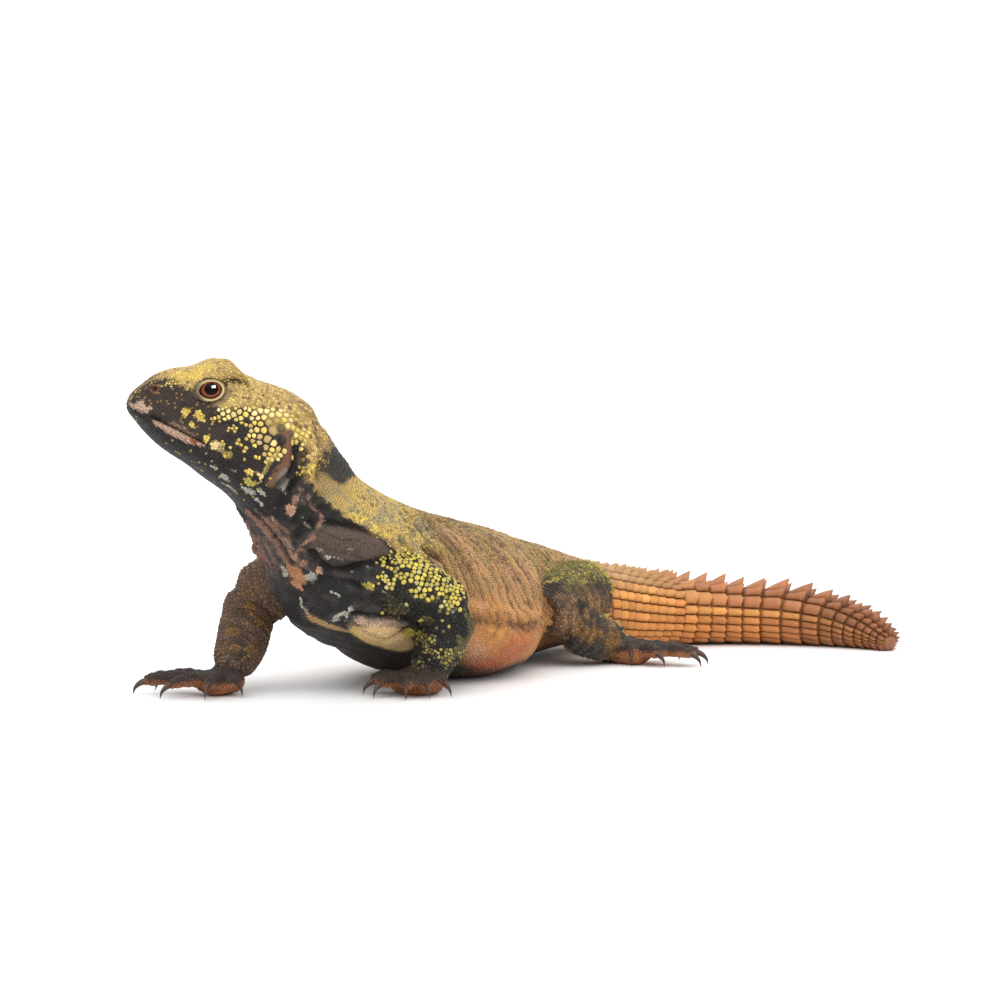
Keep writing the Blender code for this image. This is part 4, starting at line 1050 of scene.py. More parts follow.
def limbMarkings(name, xyz, s):
    n1, n2 = fractal(xyz, 6.0, 41), fractal(xyz, 2.6, 42)
    z = xyz[:, 2]
    # painted shade in the creases across the limb, a little painted light on the ridges between
    # them
    fold = 1.0 + 0.4 * limbWrinkle(xyz, s)[:, None]
    if name.startswith(("upperArmLeft", "forearmLeft")):
        return fold * layered(tint["armBlack"], [
            ("armOlive", ramp(n1, 0.5, 0.62) * ramp(z, 34, 20) * 0.8),
        ])
    if name.startswith(("upperArmRight", "forearmRight")):
        return fold * layered(tint["leg"], [
            ("armBrown", ramp(n1, 0.3, 0.6)),
            ("ochre", ramp(n2, 0.56, 0.66) * 0.7 * ramp(z, 8, 14)),
            # painted light: a lighter copy of the same brown over the top of the right arm
            (tint["armBrown"] * 1.25, ramp(z, 24, 33) * 0.7),
        ])
    if name.startswith("thigh"):
        return fold * layered(tint["leg"], [
            ("legTan", ramp(n1, 0.32, 0.55) * within(z, 9, 24, 4)),
            ("spineGreen", ramp(z + 8 * (n1 - 0.5), 24, 30) * 0.5),
        ])
    if name.startswith("shank"):
        return fold * layered(tint["leg"], [
            ("ochre", ramp(n1, 0.48, 0.6) * 0.8), ("legTan", ramp(n2, 0.55, 0.75) * 0.6),
        ])
    # hands, feet and toes, with paler pads
    pads = 0.75 if name.startswith("foot") else 0.0
    return layered(tint["hand"], [
        ("toe", ramp(n1, 0.4, 0.6)), ("pad", ramp(z + 3.0 * (n2 - 0.5), 5.4, 3.4)),
        (tint["pad"] * 1.25, ramp(z, 5.6, 3.4) * pads),
    ])


def markings(info):
    c = np.zeros((len(info["s"]), 3))
    for k in np.unique(info["part"]):
        here = np.nonzero(info["part"] == k)[0]
        there = {key: value[here] for key, value in info.items()}
        if k == 0:
            c[here] = bodyMarkings(there)
        else:
            c[here] = limbMarkings(partNames[k], there["xyz"], there["s"])
    return c


skinColour = markings(skinInfo)
print("markings")

coatLook = {
    "seed": 11,
    "packing": 0.74,  # least distance between two scales, of their spacing
    "jitter": (0.11, 0.2),  # how far they stray from their rows, on the body and the limbs
    "neighbours": 9, "longest": 1.35,  # how many bound a cell, and its reach in radii
    "directions": 24,  # in which a cell is measured
    "gap": 0.95,  # share of its cell that a scale fills
    "height": 0.26,  # of its radius
    "sunk": 0.22,  # depth of its root, of its radius
    "shoulder": (0.62, 0.87),  # height and width of the ring under the apex
}
bvh = BVHTree.FromPolygons(
    skinPoints.tolist(), [tuple(f.vertices) for f in skin.data.polygons], epsilon=0.0
)


def onSkin(points):
    # nearest places on the skin, with its direction there and how far away they are
    found = [bvh.find_nearest(p) for p in points.tolist()]
    place = np.array([f[0] for f in found])
    normal = np.array([f[1] for f in found])
    return place, normal, np.array([f[3] for f in found])


def spacingOf(info):
    # distance between neighbouring scales, in millimetres
    s, g, xyz = info["s"], info["g"], info["xyz"]
    trunk = 0.80 + 0.55 * ramp(g, 0.64, 0.78) * ramp(s, 96, 108) + 0.9 * ramp(s, 192, 222)
    head = 0.82 + 0.12 * ramp(g, 0.3, 0.15) * ramp(s, 10, 16)
    temple = within(s, 19.5, 39, 1) * bell((g - 0.372 + 0.0061 * (s - 20.5)) / 0.022)
    middle = bell((s - 37) / 5.0) * bell((g - 0.345) / 0.075)
    size = np.maximum(1.15 * temple, 1.9 * middle) * (0.75 + 0.5 * cloud(xyz, 2.6, 51))
    head = head + size + 0.3 * within(s, 26, 42, 2) * within(g, 0.28, 0.5, 0.03)
    cheek = within(s, 23, 42.5, 1.5) * within(g, 0.25, 0.50, 0.02)
    head = head + 0.45 * within(s, 38, 50, 2) * within(g, 0.12, 0.42, 0.04) * (1 - cheek)
    neck = np.full(len(s), 0.82)
    out = np.where(s < 47, head, np.where(s < 74, neck, trunk))
    sizes = {
        "upperArm": 1.5, "forearm": 1.2, "thigh": 1.05, "shank": 1.15, "hand": 0.95, "foot": 0.95,
    }
    for name, size in sizes.items():
        size = size * (0.75 + 0.5 * cloud(xyz, 3.0, 52))
        out = np.where(np.isin(info["part"], partsNamed(name)), size, out)
    return out


def latticeSites():
    # rows of places round every tube, each row shifted by half a scale from the last
    sites = []
    turn = np.linspace(-math.pi, math.pi, 241)
    for k, tube in enumerate(tubes):
        first, last = tube["ends"]
        last = min(last, tailStart) if k == 0 else last
        at, row = first + 0.3, 0
        while at < last:
            ring = tubeRings(k, np.array([at]), turn)[0]
            step = np.linalg.norm(np.diff(ring, axis=0), axis=1)
            middle = (ring[1:] + ring[:-1]) / 2
            girth = np.abs(math.pi / 2 - (turn[1:] + turn[:-1]) / 2) / math.pi
            girth = np.where(girth > 1, 2 - girth, girth)
            info = {
                "s": np.full(len(step), at), "g": girth, "xyz": middle,
                "part": np.full(len(step), k),
            }
            spacing = spacingOf(info)
            count = np.concatenate([[0], np.cumsum(step / spacing)])
            total = max(3, int(round(count[-1])))
            want = (np.arange(total) + 0.5 * (row % 2)) * count[-1] / total
            sites.append(np.stack([np.interp(want, count, ring[:, i]) for i in range(3)], -1))
            at += 0.86 * float(np.median(spacing[girth < 0.55]))
            row += 1
    return np.concatenate(sites)


def spread(places, spacing, share):
    # keeps places in order, dropping any that is too close to one kept already
    tree = treeOf(places)
    kept = np.ones(len(places), bool)
    for i, p in enumerate(places.tolist()):
        if kept[i]:
            for _, j, _ in tree.find_range(p, share * spacing[i]):
                if j > i:
                    kept[j] = False
    return kept


def neighboursOf(places, count):
    tree = treeOf(places)
    return np.array([[q[1] for q in tree.find_n(p, count + 1)][1:] for p in places.tolist()])


# bare places of the ear, with half widths
earBare = [(earFront, 0.9), (earPit, 1.0)]


def bare(info):
    # where no scale grows: the mouth's slit, the eyes' openings, nostrils, and the tail
    xyz, s = info["xyz"], info["s"]
    body = info["part"] == 0
    high = ((xyz - follow(spineTable, s)) * frames(spineTable, s)[2]).sum(-1)
    out = body & (np.abs(high) < 0.5) & (s < headShape["mouthBack"])
    out |= body & (s > tailStart + 0.5)
    for side in (1, -1):
        _, _, ring, depth = orbitPlace(xyz, side)
        out |= body & (ring < 1.38) & (depth > 0) & (s < 30)
        ahead, up, depth = headPlace(xyz, headShape["nostril"], side)
        out |= body & (ahead**2 + up**2 + (0.6 * depth) ** 2 < 1.1**2)
    for line, width in earBare:
        out |= body & (s < 52) & (lineDistance(s, info["g"], line) < width)
    return out | (xyz[:, 2] < 0.3)


def scaleSites():
    random = np.random.default_rng(coatLook["seed"])
    places, _, away = onSkin(latticeSites())
    places = places[away < 1.5]
    info = anatomy(places)
    spacing = spacingOf(info)
    order = random.permutation(len(skinPoints))
    extra = skinPoints[order]
    extraInfo = {key: value[order] for key, value in skinInfo.items()}
    places = np.concatenate([places, extra])
    spacing = np.concatenate([spacing, spacingOf(extraInfo) * 1.12])
    kept = spread(places, spacing, coatLook["packing"])
    places, spacing = places[kept], spacing[kept]
    jitter, limbJitter = coatLook["jitter"]
    loose = np.where(anatomy(places)["part"] > 0, limbJitter, jitter) * spacing
    places = places + loose[:, None] * random.normal(size=places.shape)
    # twice: neighbours that are too close push each other apart along the skin
    for _ in range(2):
        near = neighboursOf(places, 6)
        apart = places[:, None] - places[near]
        far = np.linalg.norm(apart, axis=-1)
        want = (spacing[:, None] + spacing[near]) / 2
        push = (apart / far[..., None] * np.clip(want - far, 0, None)[..., None]).sum(1)
        places, _, _ = onSkin(places + 0.3 * push)
    places, normals, _ = onSkin(places)
    info = anatomy(places)
    info["normal"] = normals
    info["radius"] = spacingOf(info) / 2
    keep = ~bare(info)
    return {key: value[keep] for key, value in info.items()}


sites = scaleSites()
siteCount = len(sites["s"])
print("scale sites", siteCount)


def cells(info):
    # reach of each scale in each direction: the way to the line between it and a neighbour,
    # which divides the distance by their sizes; the nearest such line bounds the scale
    near = neighboursOf(info["xyz"], coatLook["neighbours"])
    normal = info["normal"]
    rear = unit(info["rear"] - (info["rear"] * normal).sum(-1)[:, None] * normal)
    across = np.cross(normal, rear)
    apart = info["xyz"][near] - info["xyz"][:, None]
    x = (apart * rear[:, None]).sum(-1)
    y = (apart * across[:, None]).sum(-1)
    far = np.hypot(x, y) + 1e-6
    share = info["radius"][:, None] / (info["radius"][:, None] + info["radius"][near])
    angle = np.arange(coatLook["directions"]) * 2 * math.pi / coatLook["directions"]
    facing = (
        x[:, None] * np.cos(angle)[None, :, None] + y[:, None] * np.sin(angle)[None, :, None]
    ) / far[:, None]
    reach = (share * far)[:, None] / np.maximum(facing, 0.2)
    reach = np.minimum(reach.min(-1), coatLook["longest"] * info["radius"][:, None])
    info.update(rearward=rear, across=across, reach=reach)
    return angle


def bakeMap(mesh, info, owner, x, y):
    # a small patch for each scale, at its root's place on an unwrap: the body fills the lower
    # part, the limbs stand side by side in a band above it, the toes in one at the top
    part, s, around = info["part"], info["s"], info["g"] * info["side"]
    limbCount, patchSize = len(limbTables), 0.0015
    toeCount = len(tubes) - 1 - limbCount
    share = 0.1 + 0.8 * s / np.array([tube["ends"][1] for tube in tubes])[part]
    u, v = (s + 3.0) / 350.0, 0.3 + 0.29 * around
    limb, toe = (part > 0) & (part <= limbCount), part > limbCount
    u = np.where(limb, (part - 1 + share) / limbCount, u)
    v = np.where(limb, 0.73 + 0.11 * around, v)
    u = np.where(toe, (part - 1 - limbCount + share) / toeCount, u)
    v = np.where(toe, 0.92 + 0.06 * around, v)
    place = np.stack([u[owner] + patchSize * x, v[owner] + patchSize * y], -1)
    layer = mesh.uv_layers.new(name="OFBake")
    corners = np.empty(len(mesh.loops), np.int32)
    mesh.loops.foreach_get("vertex_index", corners)
    layer.data.foreach_set("uv", place[corners].astype(np.float32).ravel())


def scaleCoat(name, info, colour, rootShadeAndSeam, height, spike, tilt, sides, finish):
    # Each scale: a sunk root ring as wide as its cell, a shoulder ring, an apex pushed to the
    # rear, and a closed underside. height, spike and tilt are given for every scale.
    count, r, rear, across = len(info["s"]), info["radius"], info["rearward"], info["across"]
    step = len(cellAngle) // sides
    angle, reach = cellAngle[::step], info["reach"][:, ::step]
    way = (
        rear[:, None] * np.cos(angle)[None, :, None]
        + across[:, None] * np.sin(angle)[None, :, None]
    )
    place, normal = info["xyz"], info["normal"]
    width, sunk = reach * info["gap"][:, None], coatLook["sunk"] * r
    high, inward = coatLook["shoulder"]
    root = place[:, None] + way * width[..., None] - sunk[:, None, None] * normal[:, None]
    lift = (height * high)[:, None] + (tilt * r)[:, None] * np.cos(angle)[None]
    shoulder = place[:, None] + way * (width * inward)[..., None]
    shoulder = shoulder + lift[..., None] * normal[:, None]
    back = (0.18 + 0.5 * tilt) * r + 0.55 * spike
    apex = place + (height + spike)[:, None] * normal + back[:, None] * rear
    under = place - (sunk + 0.1)[:, None] * normal
    points = np.concatenate([root, shoulder, apex[:, None], under[:, None]], 1)
    size = 2 * sides + 2
    k = np.arange(sides)
    n = (k + 1) % sides
    tri = np.concatenate([
        np.stack([k, n, sides + n], -1), np.stack([k, sides + n, sides + k], -1),
        np.stack([sides + k, sides + n, np.full(sides, 2 * sides)], -1),
        np.stack([n, k, np.full(sides, 2 * sides + 1)], -1),
    ])
    faces = (tri[None] + (np.arange(count) * size)[:, None, None]).reshape(-1, 3)
    mesh = bpy.data.meshes.new(name)
    mesh.vertices.add(count * size)
    mesh.vertices.foreach_set("co", (points * mm).astype(np.float32).ravel())
    mesh.loops.add(len(faces) * 3)
    mesh.loops.foreach_set("vertex_index", faces.astype(np.int32).ravel())
    mesh.polygons.add(len(faces))
    mesh.polygons.foreach_set("loop_start", np.arange(0, len(faces) * 3, 3, dtype=np.int32))
    mesh.polygons.foreach_set("use_smooth", np.ones(len(faces), bool))
    mesh.update(calc_edges=True)
    mesh.materials.append(finish)
    obj = bpy.data.objects.new(name, mesh)
    bpy.context.scene.collection.objects.link(obj)
    # painted shade and highlight: the shoulder ring a little darker and the apex a little lighter
    # than the scale; the root ring takes the root colour, the hidden underside black
    shade = np.concatenate([np.zeros(sides), np.full(sides, 0.94), [1.06], [0.0]])
    fromRoot = np.where(shade == 0, 1.0, 0.0)
    tones = colour[:, None] * shade[None, :, None] + rootShadeAndSeam[:, None] * fromRoot[None, :, None]
    setColour(mesh, tones.reshape(-1, 3))
    x = np.concatenate([np.cos(angle), 0.8 * np.cos(angle), [0, 0]])
    y = np.concatenate([np.sin(angle), 0.8 * np.sin(angle), [0, 0]])
    bakeMap(mesh, info, np.repeat(np.arange(count), size), np.tile(x, count), np.tile(y, count))
    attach(obj, "root")
    print(name, count, "scales", len(faces), "faces")


cellAngle = cells(sites)
coatRandom = np.random.default_rng(coatLook["seed"] + 1)
siteColour = markings(sites)
part, s, g, xyz, r = (sites[key] for key in ("part", "s", "g", "xyz", "radius"))
body = part == 0


def onParts(*starts):
    return np.isin(part, partsNamed(*starts))


def pick(mask, name, share, amount=1.0):
    # blends a colour over a share of the chosen scales
    mask = mask & (coatRandom.random(siteCount) < share)
    siteColour[mask] = siteColour[mask] * (1 - amount) + tint[name] * amount


patch = fractal(xyz, 4.0, 61)
height = coatLook["height"] * r * (0.8 + 0.4 * coatRandom.random(siteCount))
gap = np.full(siteCount, coatLook["gap"])
spike = np.zeros(siteCount)
tilt = np.full(siteCount, 0.07)
# painted shade in the grooves: how bright each scale's root ring is, as a share of its colour
rootShade = np.full(siteCount, 0.5)
rootDark = np.zeros(siteCount)  # how far the seams are charcoal whatever the scale's colour

# the cheek's large yellow scales, and the row of them behind the eye
templeAt = .372 - .0061 * (s - 20.5)
cheekEdge = np.interp(s, [20, 29, 35, 40, 45], [.50, .495, .462, .44, .42])
cheekEdge += 0.09 * (fractal(xyz, 4.5, 63) - 0.5)
cheek = body & (s > 20) & (s < 45) & (g > .25) & (g < .52) & (r > 0.42)
cheek &= g > templeAt - .03
large = cheek & (r > 0.68) & (g < cheekEdge)
gap[cheek] = 0.87
height[cheek] = 0.36 * r[cheek]
rootDark[cheek] = 0.97
siteColour[cheek] = mixed(siteColour[cheek], tint["charcoal"], np.full(cheek.sum(), 0.75))
pick(large & (patch > .33), "yellow", 0.86)
pick(large, "paleYellow", 0.35, 0.75)
pick(large, "crownShade", 0.14, 0.6)
pick(cheek & ~large & (g < cheekEdge) & (patch > .34), "yellow", 0.45, 0.85)
pick(cheek & (g >= cheekEdge) & (patch > .62), "yellow", 0.7, 0.7)
temple = body & (s > 20) & (s < 39) & (np.abs(g - templeAt) < .022)
pick(temple, "paleYellow", 0.85)
pick(temple, "yellow", 0.3, 0.6)
# the flange behind the ear, the crown, the lores, the jaw
flange = body & (s > 38) & (s < 51) & (g > .12) & (g < .45) & ~cheek
rootDark[flange] = 0.9
pick(flange, "crownShade", 0.6, 0.7)
pick(flange, "warmCharcoal", 0.28, 0.75)
pick(flange, "yellow", 0.20, 0.5)
pick(flange & (g < .25), "peach", 0.2, 0.5)
crown = body & (s < 44) & (g < .3) & ~cheek
rootShade[crown] = np.interp(s[crown], [18, 28], [0.82, 0.55])
height[crown] *= 0.75
pick(crown & (s > 14), "warmCharcoal", 0.10, 0.45)
pick(crown & (s > 22), "crownShade", 0.3, 0.8)
pick(crown & (s > 19) & (g > .2), "charcoal", 0.12, 0.7)
pick(crown, "crownShade", 0.22, 0.5)
pick(crown, "peach", 0.15, 0.35)
pick(crown, "crownLight", 0.2, 0.5)
pick(crown & (s > 4) & (s < 14) & (g > .17), "yellow", 0.35, 0.8)
pick(crown & (s < 12), "warmCharcoal", 0.08, 0.7)
pick(crown & (s < 12) & (patch > .5), "lip", 0.2, 0.5)
lore = body & (s < 22) & (g > .26) & (g < .48)
pick(lore, "crownShade", 0.10, 0.6)
jaw = body & (s < 42) & (g > .5)
pick(jaw, "yellowGreen", 0.03, 0.7)
pick(jaw, "chestGrey", 0.15, 0.4)
# trunk, chest and shoulders
trunk = body & (s > 80)
rootShade[trunk] = 0.74
chest = body & (s > 42) & (s < 104) & (g > .45)
height[chest] *= 0.6
rootShade[chest] = 0.85
gap[chest] = 0.98
pick(trunk & (g < .35), "backShade", 0.2, 0.7)
pick(trunk & (g < .33) & (patch > .5), "charcoal", 0.12, 0.6)
pick(trunk & (g > .3) & (g < .65), "tailLight", 0.06, 0.3)
shoulder = body & (s > 60) & (s < 90) & (g < .46)
rootDark[shoulder] = 0.4
pick(shoulder & (patch > .42), "yellow", 0.32, 0.6)
pick(shoulder, "nape", 0.16, 0.5)

arm, fore = onParts("upperArmLeft"), onParts("forearmLeft")
height[arm] = 0.34 * r[arm]
tilt[arm] = 0.14
rootDark[arm] = 0.95
gap[arm] = 0.985
gap[fore] = 0.98
# yellow on the top and outside of the arm, in clusters, black below and in front
topSide = ramp(g + 0.5 * (fractal(xyz, 5.0, 62) - 0.5), 0.62, 0.46)
lit = arm & (coatRandom.random(siteCount) < 0.04 + 0.9 * topSide * ramp(s, 31, 24))
pick(lit, "armYellow", 0.95)
pick(lit, "yellowGreen", 0.45, 0.75)
pick(lit & (patch > .55), "spot", 0.22, 0.4)
pick(lit, "armBlack", 0.07, 0.7)
rootDark[fore] = 0.8
pick(fore & (patch > .45), "armOlive", 0.75)
pick(fore & (patch > .52), "yellowGreen", 0.55, 0.7)
right = onParts("upperArmRight", "forearmRight")
pick(right & (patch > .5), "ochre", 0.2, 0.8)
tilt[right | fore] = 0.2
# the scales rise towards the tail
rump = body & (s > 190)
tilt[rump] = 0.07 + 0.3 * ramp(s[rump], 192, 220)
height[rump] *= 1 + ramp(s[rump], 192, 220)
# small spines along the outer rear edge of the hind legs
thigh = onParts("thigh", "shank")
tilt[thigh] = 0.18
rootDark[thigh] = 0.5
outer = unit(np.where(xyz[:, :1] > -10, [[0.35, 0.75, 0.55]], [[-0.35, 0.75, 0.55]]))
facing = (sites["normal"] * outer).sum(-1)
edge = thigh & (coatRandom.random(siteCount) < 0.5 * ramp(facing, 0.72, 0.95))
spike[edge] = 0.6 + 0.8 * coatRandom.random(edge.sum())
height[edge] = 0.3
pick(edge, "spineGreen", 0.75, 0.8)
pick(edge, "yellowGreen", 0.3)
pick(thigh & (xyz[:, 2] + 5 * patch > 28.5), "yellowGreen", 0.45, 0.75)
pick(thigh & ~edge, "charcoal", 0.3, 0.5)
siteColour *= (0.84 + 0.32 * coatRandom.random(siteCount))[:, None]
# root rings: painted shade in the grooves between scales, blended towards charcoal where the seams
# are dark
rootShadeAndSeamColour = mixed(siteColour * rootShade[:, None], tint["charcoal"] * 0.8, rootDark)
sites["gap"] = gap

# the coat's pieces: which scales, slot, sides of a scale
behind, flank = body & (s >= 84), (g >= .27) & (g < .7)
regions = {
    "scales_head": (body & (s < 48), "head_skin", 8),
    "scales_neck": (body & (s >= 48) & (s < 84), "body_skin", 6),
    "scales_shoulders": (behind & (s < 140) & (g < .27), "body_skin", 6),
    "scales_back": (behind & (s >= 140) & (g < .27), "body_skin", 6),
    "scales_flank_left": (behind & flank & (sites["side"] > 0), "body_skin", 6),
    "scales_flank_right": (behind & flank & (sites["side"] < 0), "body_skin", 6),
    "scales_belly": (behind & (g >= .7), "body_skin", 6),
    "scales_arms": (onParts("upperArm", "forearm", "hand"), "limb_skin", 6),
    "scales_legs": (onParts("thigh", "shank", "foot"), "limb_skin", 6),
}
for name, (mask, slot, sides) in regions.items():
    chosen = {key: value[mask] for key, value in sites.items()}
    scaleCoat(
        name, chosen, siteColour[mask], rootShadeAndSeamColour[mask], height[mask], spike[mask], tilt[mask],
        sides, scaleFinish,
    )

# the tail: whorls of plates, each rising to a spine at its rear
plateLook = {
    "seed": 29, "spine": 4.2, "sunk": 0.8, "gap": 0.05, "tip": 2.2,
    # size of the spines by the distance along the body, and by how far they are from its top
    "sizeAt": ([222, 240, 262, 300, 330, 345], [0.3, 0.5, 0.85, 1.0, 0.7, 0.4]),
    "strengthAt": ([0, .1, .3, .42, .6, .8], [1.0, .95, .7, .35, .25, .1]),
}
# rows of points along a plate and across it, with their shades: painted shade on the sunken rim,
# lighter towards the rear
plateU = np.array([0.0, 0.04, 0.25, 0.5, 0.75, 0.93, 1.0])
plateV = np.array([0.0, 0.05, 0.27, 0.5, 0.73, 0.95, 1.0])
plateShade = np.outer([0.35, 0.55, 0.95, 1.0, 1.05, 1.12, 0.3], [0.4, 0.85, 1, 1.05, 1, 0.85, 0.4])


def mirrored(half):
    # edges of the plates from the middle of the back down to the belly, and the same beyond
    half = np.array(half)
    return np.concatenate([-half[::-1], half, [2.0 - half[-1]]])


# girth of the edges between plates; the first pair holds the plate on the back's middle
plateEdges = {
    "front": mirrored([.04, .125, .21, .29, .37, .44, .505, .57, .635, .70, .775, .85, .93]),
    "rear": mirrored([.085, .255, .41, .49, .57, .65, .73, .82, .915]),
}


def evenGirth(at):
    # girth and angle round the section at even steps, from the belly over the back and beyond
    angles = np.linspace(-math.pi / 2, 2 * math.pi, 301)
    ring = bodyRings(np.array([at]), angles)[0]
    step = np.linalg.norm(np.diff(ring, axis=0), axis=1)
    length = np.concatenate([[0], np.cumsum(step)])
    return 2 * length / length[240] - 1, angles


def whorlShape(front, back, random):
    # points of one whorl's plates (plate, along, around), and the girth at their middles
    edges = plateEdges["front" if back < 262 else "rear"]
    columns = len(edges) - 1
    size = np.interp(back, *plateLook["sizeAt"])
    share = plateLook["gap"] + (1 - 2 * plateLook["gap"]) * plateV
    girth = edges[:-1, None] + np.diff(edges)[:, None] * share
    # the girth runs evenly along the outline of the whorl, not evenly by angle
    turn = np.interp(girth, *evenGirth((front + back) / 2))
    at = front + (back - front) * (0.02 + 0.98 * plateU)
    centre, _, _, ahead = frames(spineTable, at)
    ring = bodyRings(at, turn.ravel()).reshape(len(at), columns, len(plateV), 3)
    outward = unit(ring - centre[:, None, None])
    middle = girth[:, 3]
    strength = np.interp(np.abs(middle), *plateLook["strengthAt"])
    strength = strength * (0.85 + 0.3 * random.random(columns))
    # each plate is a low dome that climbs to the rear, with a spine along its middle
    peak = (1 - np.abs(2 * plateV - 1)) ** 1.25
    u, tall = plateU[:, None, None], (plateLook["spine"] * size * strength)[None, :, None]
    rise = (
        (0.2 + 0.5 * u) * (0.8 + 0.5 * random.random(columns))[None, :, None]
        + 0.25 * tall * u + tall * u**1.15 * peak * 0.8
    )
    rise = rise * (0.35 + 0.65 * ramp(front, 218, 240))
    mask = np.zeros((len(plateU), 1, len(plateV)))  # 0 on the sunk rim, 1 inside it
    mask[1:-1, :, 1:-1] = 1.0
    rise = rise * mask - plateLook["sunk"] * (1 - mask)
    point = 0.5 + 1.1 * size * strength + 0.3 * random.random(columns)
    slide = point[None, :, None] * u**3 * peak * mask
    ring = ring + outward * rise[..., None] - ahead[:, None, None] * slide[..., None]
    ring[..., 2] = np.maximum(ring[..., 2], 0.12)
    return ring.transpose(1, 0, 2, 3), middle


def whorlColour(along, g, random):
    # brown above, yellow-orange at the side, dark seams: their own colour over painted shade on the
    # sunken rims
    columns = len(g)
    lateral = mixed(tint["tailSide"], tint["tailLight"], random.random(columns))
    row = within(g, 0.42, 0.48, 0.02) * ramp(along, 240, 270)
    frontRow = (g > 0.4) * ramp(along, 270, 240)
    c = layered(tint["tailTop"], [
        ("tailBrown", ramp(along, 236, 275)),
        (lateral, ramp(g, 0.24, 0.42) * ramp(along, 286, 256)),
        ("tailSide", ramp(g, 0.41, 0.43) * 0.9),
        ("tailLight", row * (0.5 + 0.5 * random.random(columns))),
        ("tailLight", frontRow * 0.5 * random.random(columns)),
        ("tailUnder", ramp(g, 0.77, 0.86)),
        ("tailTip", ramp(along, 278, 330) * 0.8),
    ])
    c = c * (0.82 + 0.3 * random.random(columns))[:, None]
    seam = np.clip(1 - plateShade, 0, 1)[None, ..., None]
    return c[:, None, None] * plateShade[None, ..., None] + seam * 0.25 * tint["tailSeam"]


def tailPlates():
    points, colours, owners, places = [], [], [], []
    random = np.random.default_rng(plateLook["seed"])
    start = 0
    for front, back in zip(whorlEdges, [*whorlEdges[1:], tailEnd]):
        ring, middle = whorlShape(front, back, random)
        columns = len(middle)
        g = np.minimum(np.abs(middle), 2 - np.abs(middle))
        along = np.full(columns, (front + back) / 2)
        points.append(ring.reshape(-1, 3))
        colours.append(whorlColour(along, g, random).reshape(-1, 3))
        places.append((along, g, np.where(middle < 0, 1, -1)))
        owners.append(np.repeat(np.arange(columns) + start, len(plateU) * len(plateV)))
        start += columns
    return [np.concatenate(c) for c in (points, colours, owners, *zip(*places))]


platePoints, plateColours, plateOwner, plateS, plateG, plateSide = tailPlates()
plateCount = len(plateS)
rows, columns = len(plateU), len(plateV)
onePlate = rows * columns
gridTop = gridFaces(rows, columns, closed=False)
# the underside: the rim's points joined across, row by row
first = np.arange(rows - 1) * columns
under = np.stack([first, first + columns, first + 2 * columns - 1, first + columns - 1], -1)
single = np.concatenate([gridTop, under])
# faces of one plate point outward
a, b, c = platePoints[gridTop[len(gridTop) // 2][:3]]
outside = platePoints[:onePlate].mean(0) - follow(spineTable, plateS[:1])[0]
if np.cross(b - a, c - a) @ outside < 0:
    single = single[:, ::-1]
bases = np.arange(plateCount)[:, None, None] * onePlate
plateFaces = [tuple(face) for face in (bases + single).reshape(-1, 4).tolist()]
# the tail's end: a rounded cap
tipAt = tailEnd - 0.8
tipCentre, _, _, tipAhead = frames(spineTable, tipAt)
tipShare = np.linspace(0, 0.97, 9)[:, None, None]
tipRing = bodyRings(np.array([tipAt]), circle(16))[0]
tipRings = tipCentre + (tipRing - tipCentre) * np.sqrt(1 - tipShare**2)
tipRings = tipRings - tipAhead * plateLook["tip"] * tipShare
tipPoints, tipFaces = tubeSurface(tipRings)
plateFaces += [tuple(int(i) + len(platePoints) for i in face) for face in tipFaces]
tipCount = len(tipPoints)
platePoints = np.concatenate([platePoints, tipPoints])
plates = makeObject("tail_plates", platePoints, plateFaces, plateFinish)
setColour(plates.data, np.concatenate([plateColours, np.tile(tint["tailTip"], (tipCount, 1))]))
plateInfo = {
    "part": np.zeros(plateCount + 1, int), "s": np.append(plateS, tailEnd),
    "g": np.append(plateG, 0.5), "side": np.append(plateSide, 1),
}
gridX = np.append(np.tile(np.repeat(plateU * 2 - 1, columns), plateCount), np.zeros(tipCount))
gridY = np.append(np.tile(np.tile(plateV * 2 - 1, rows), plateCount), np.zeros(tipCount))
plateOwner = np.append(plateOwner, np.full(tipCount, plateCount))
bakeMap(plates.data, plateInfo, plateOwner, gridX, gridY)
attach(plates, "root")
print("tail plates", plateCount)

# eyes: radii in mm, where they look, how oval their rings are, how far the cornea bulges
eyeLook = {
    "pupil": 1.72, "ring": 2.3, "iris": 2.95, "turn": 0.12, "raise": 0.09, "flatten": 0.2,
    "bulge": 0.22,
}


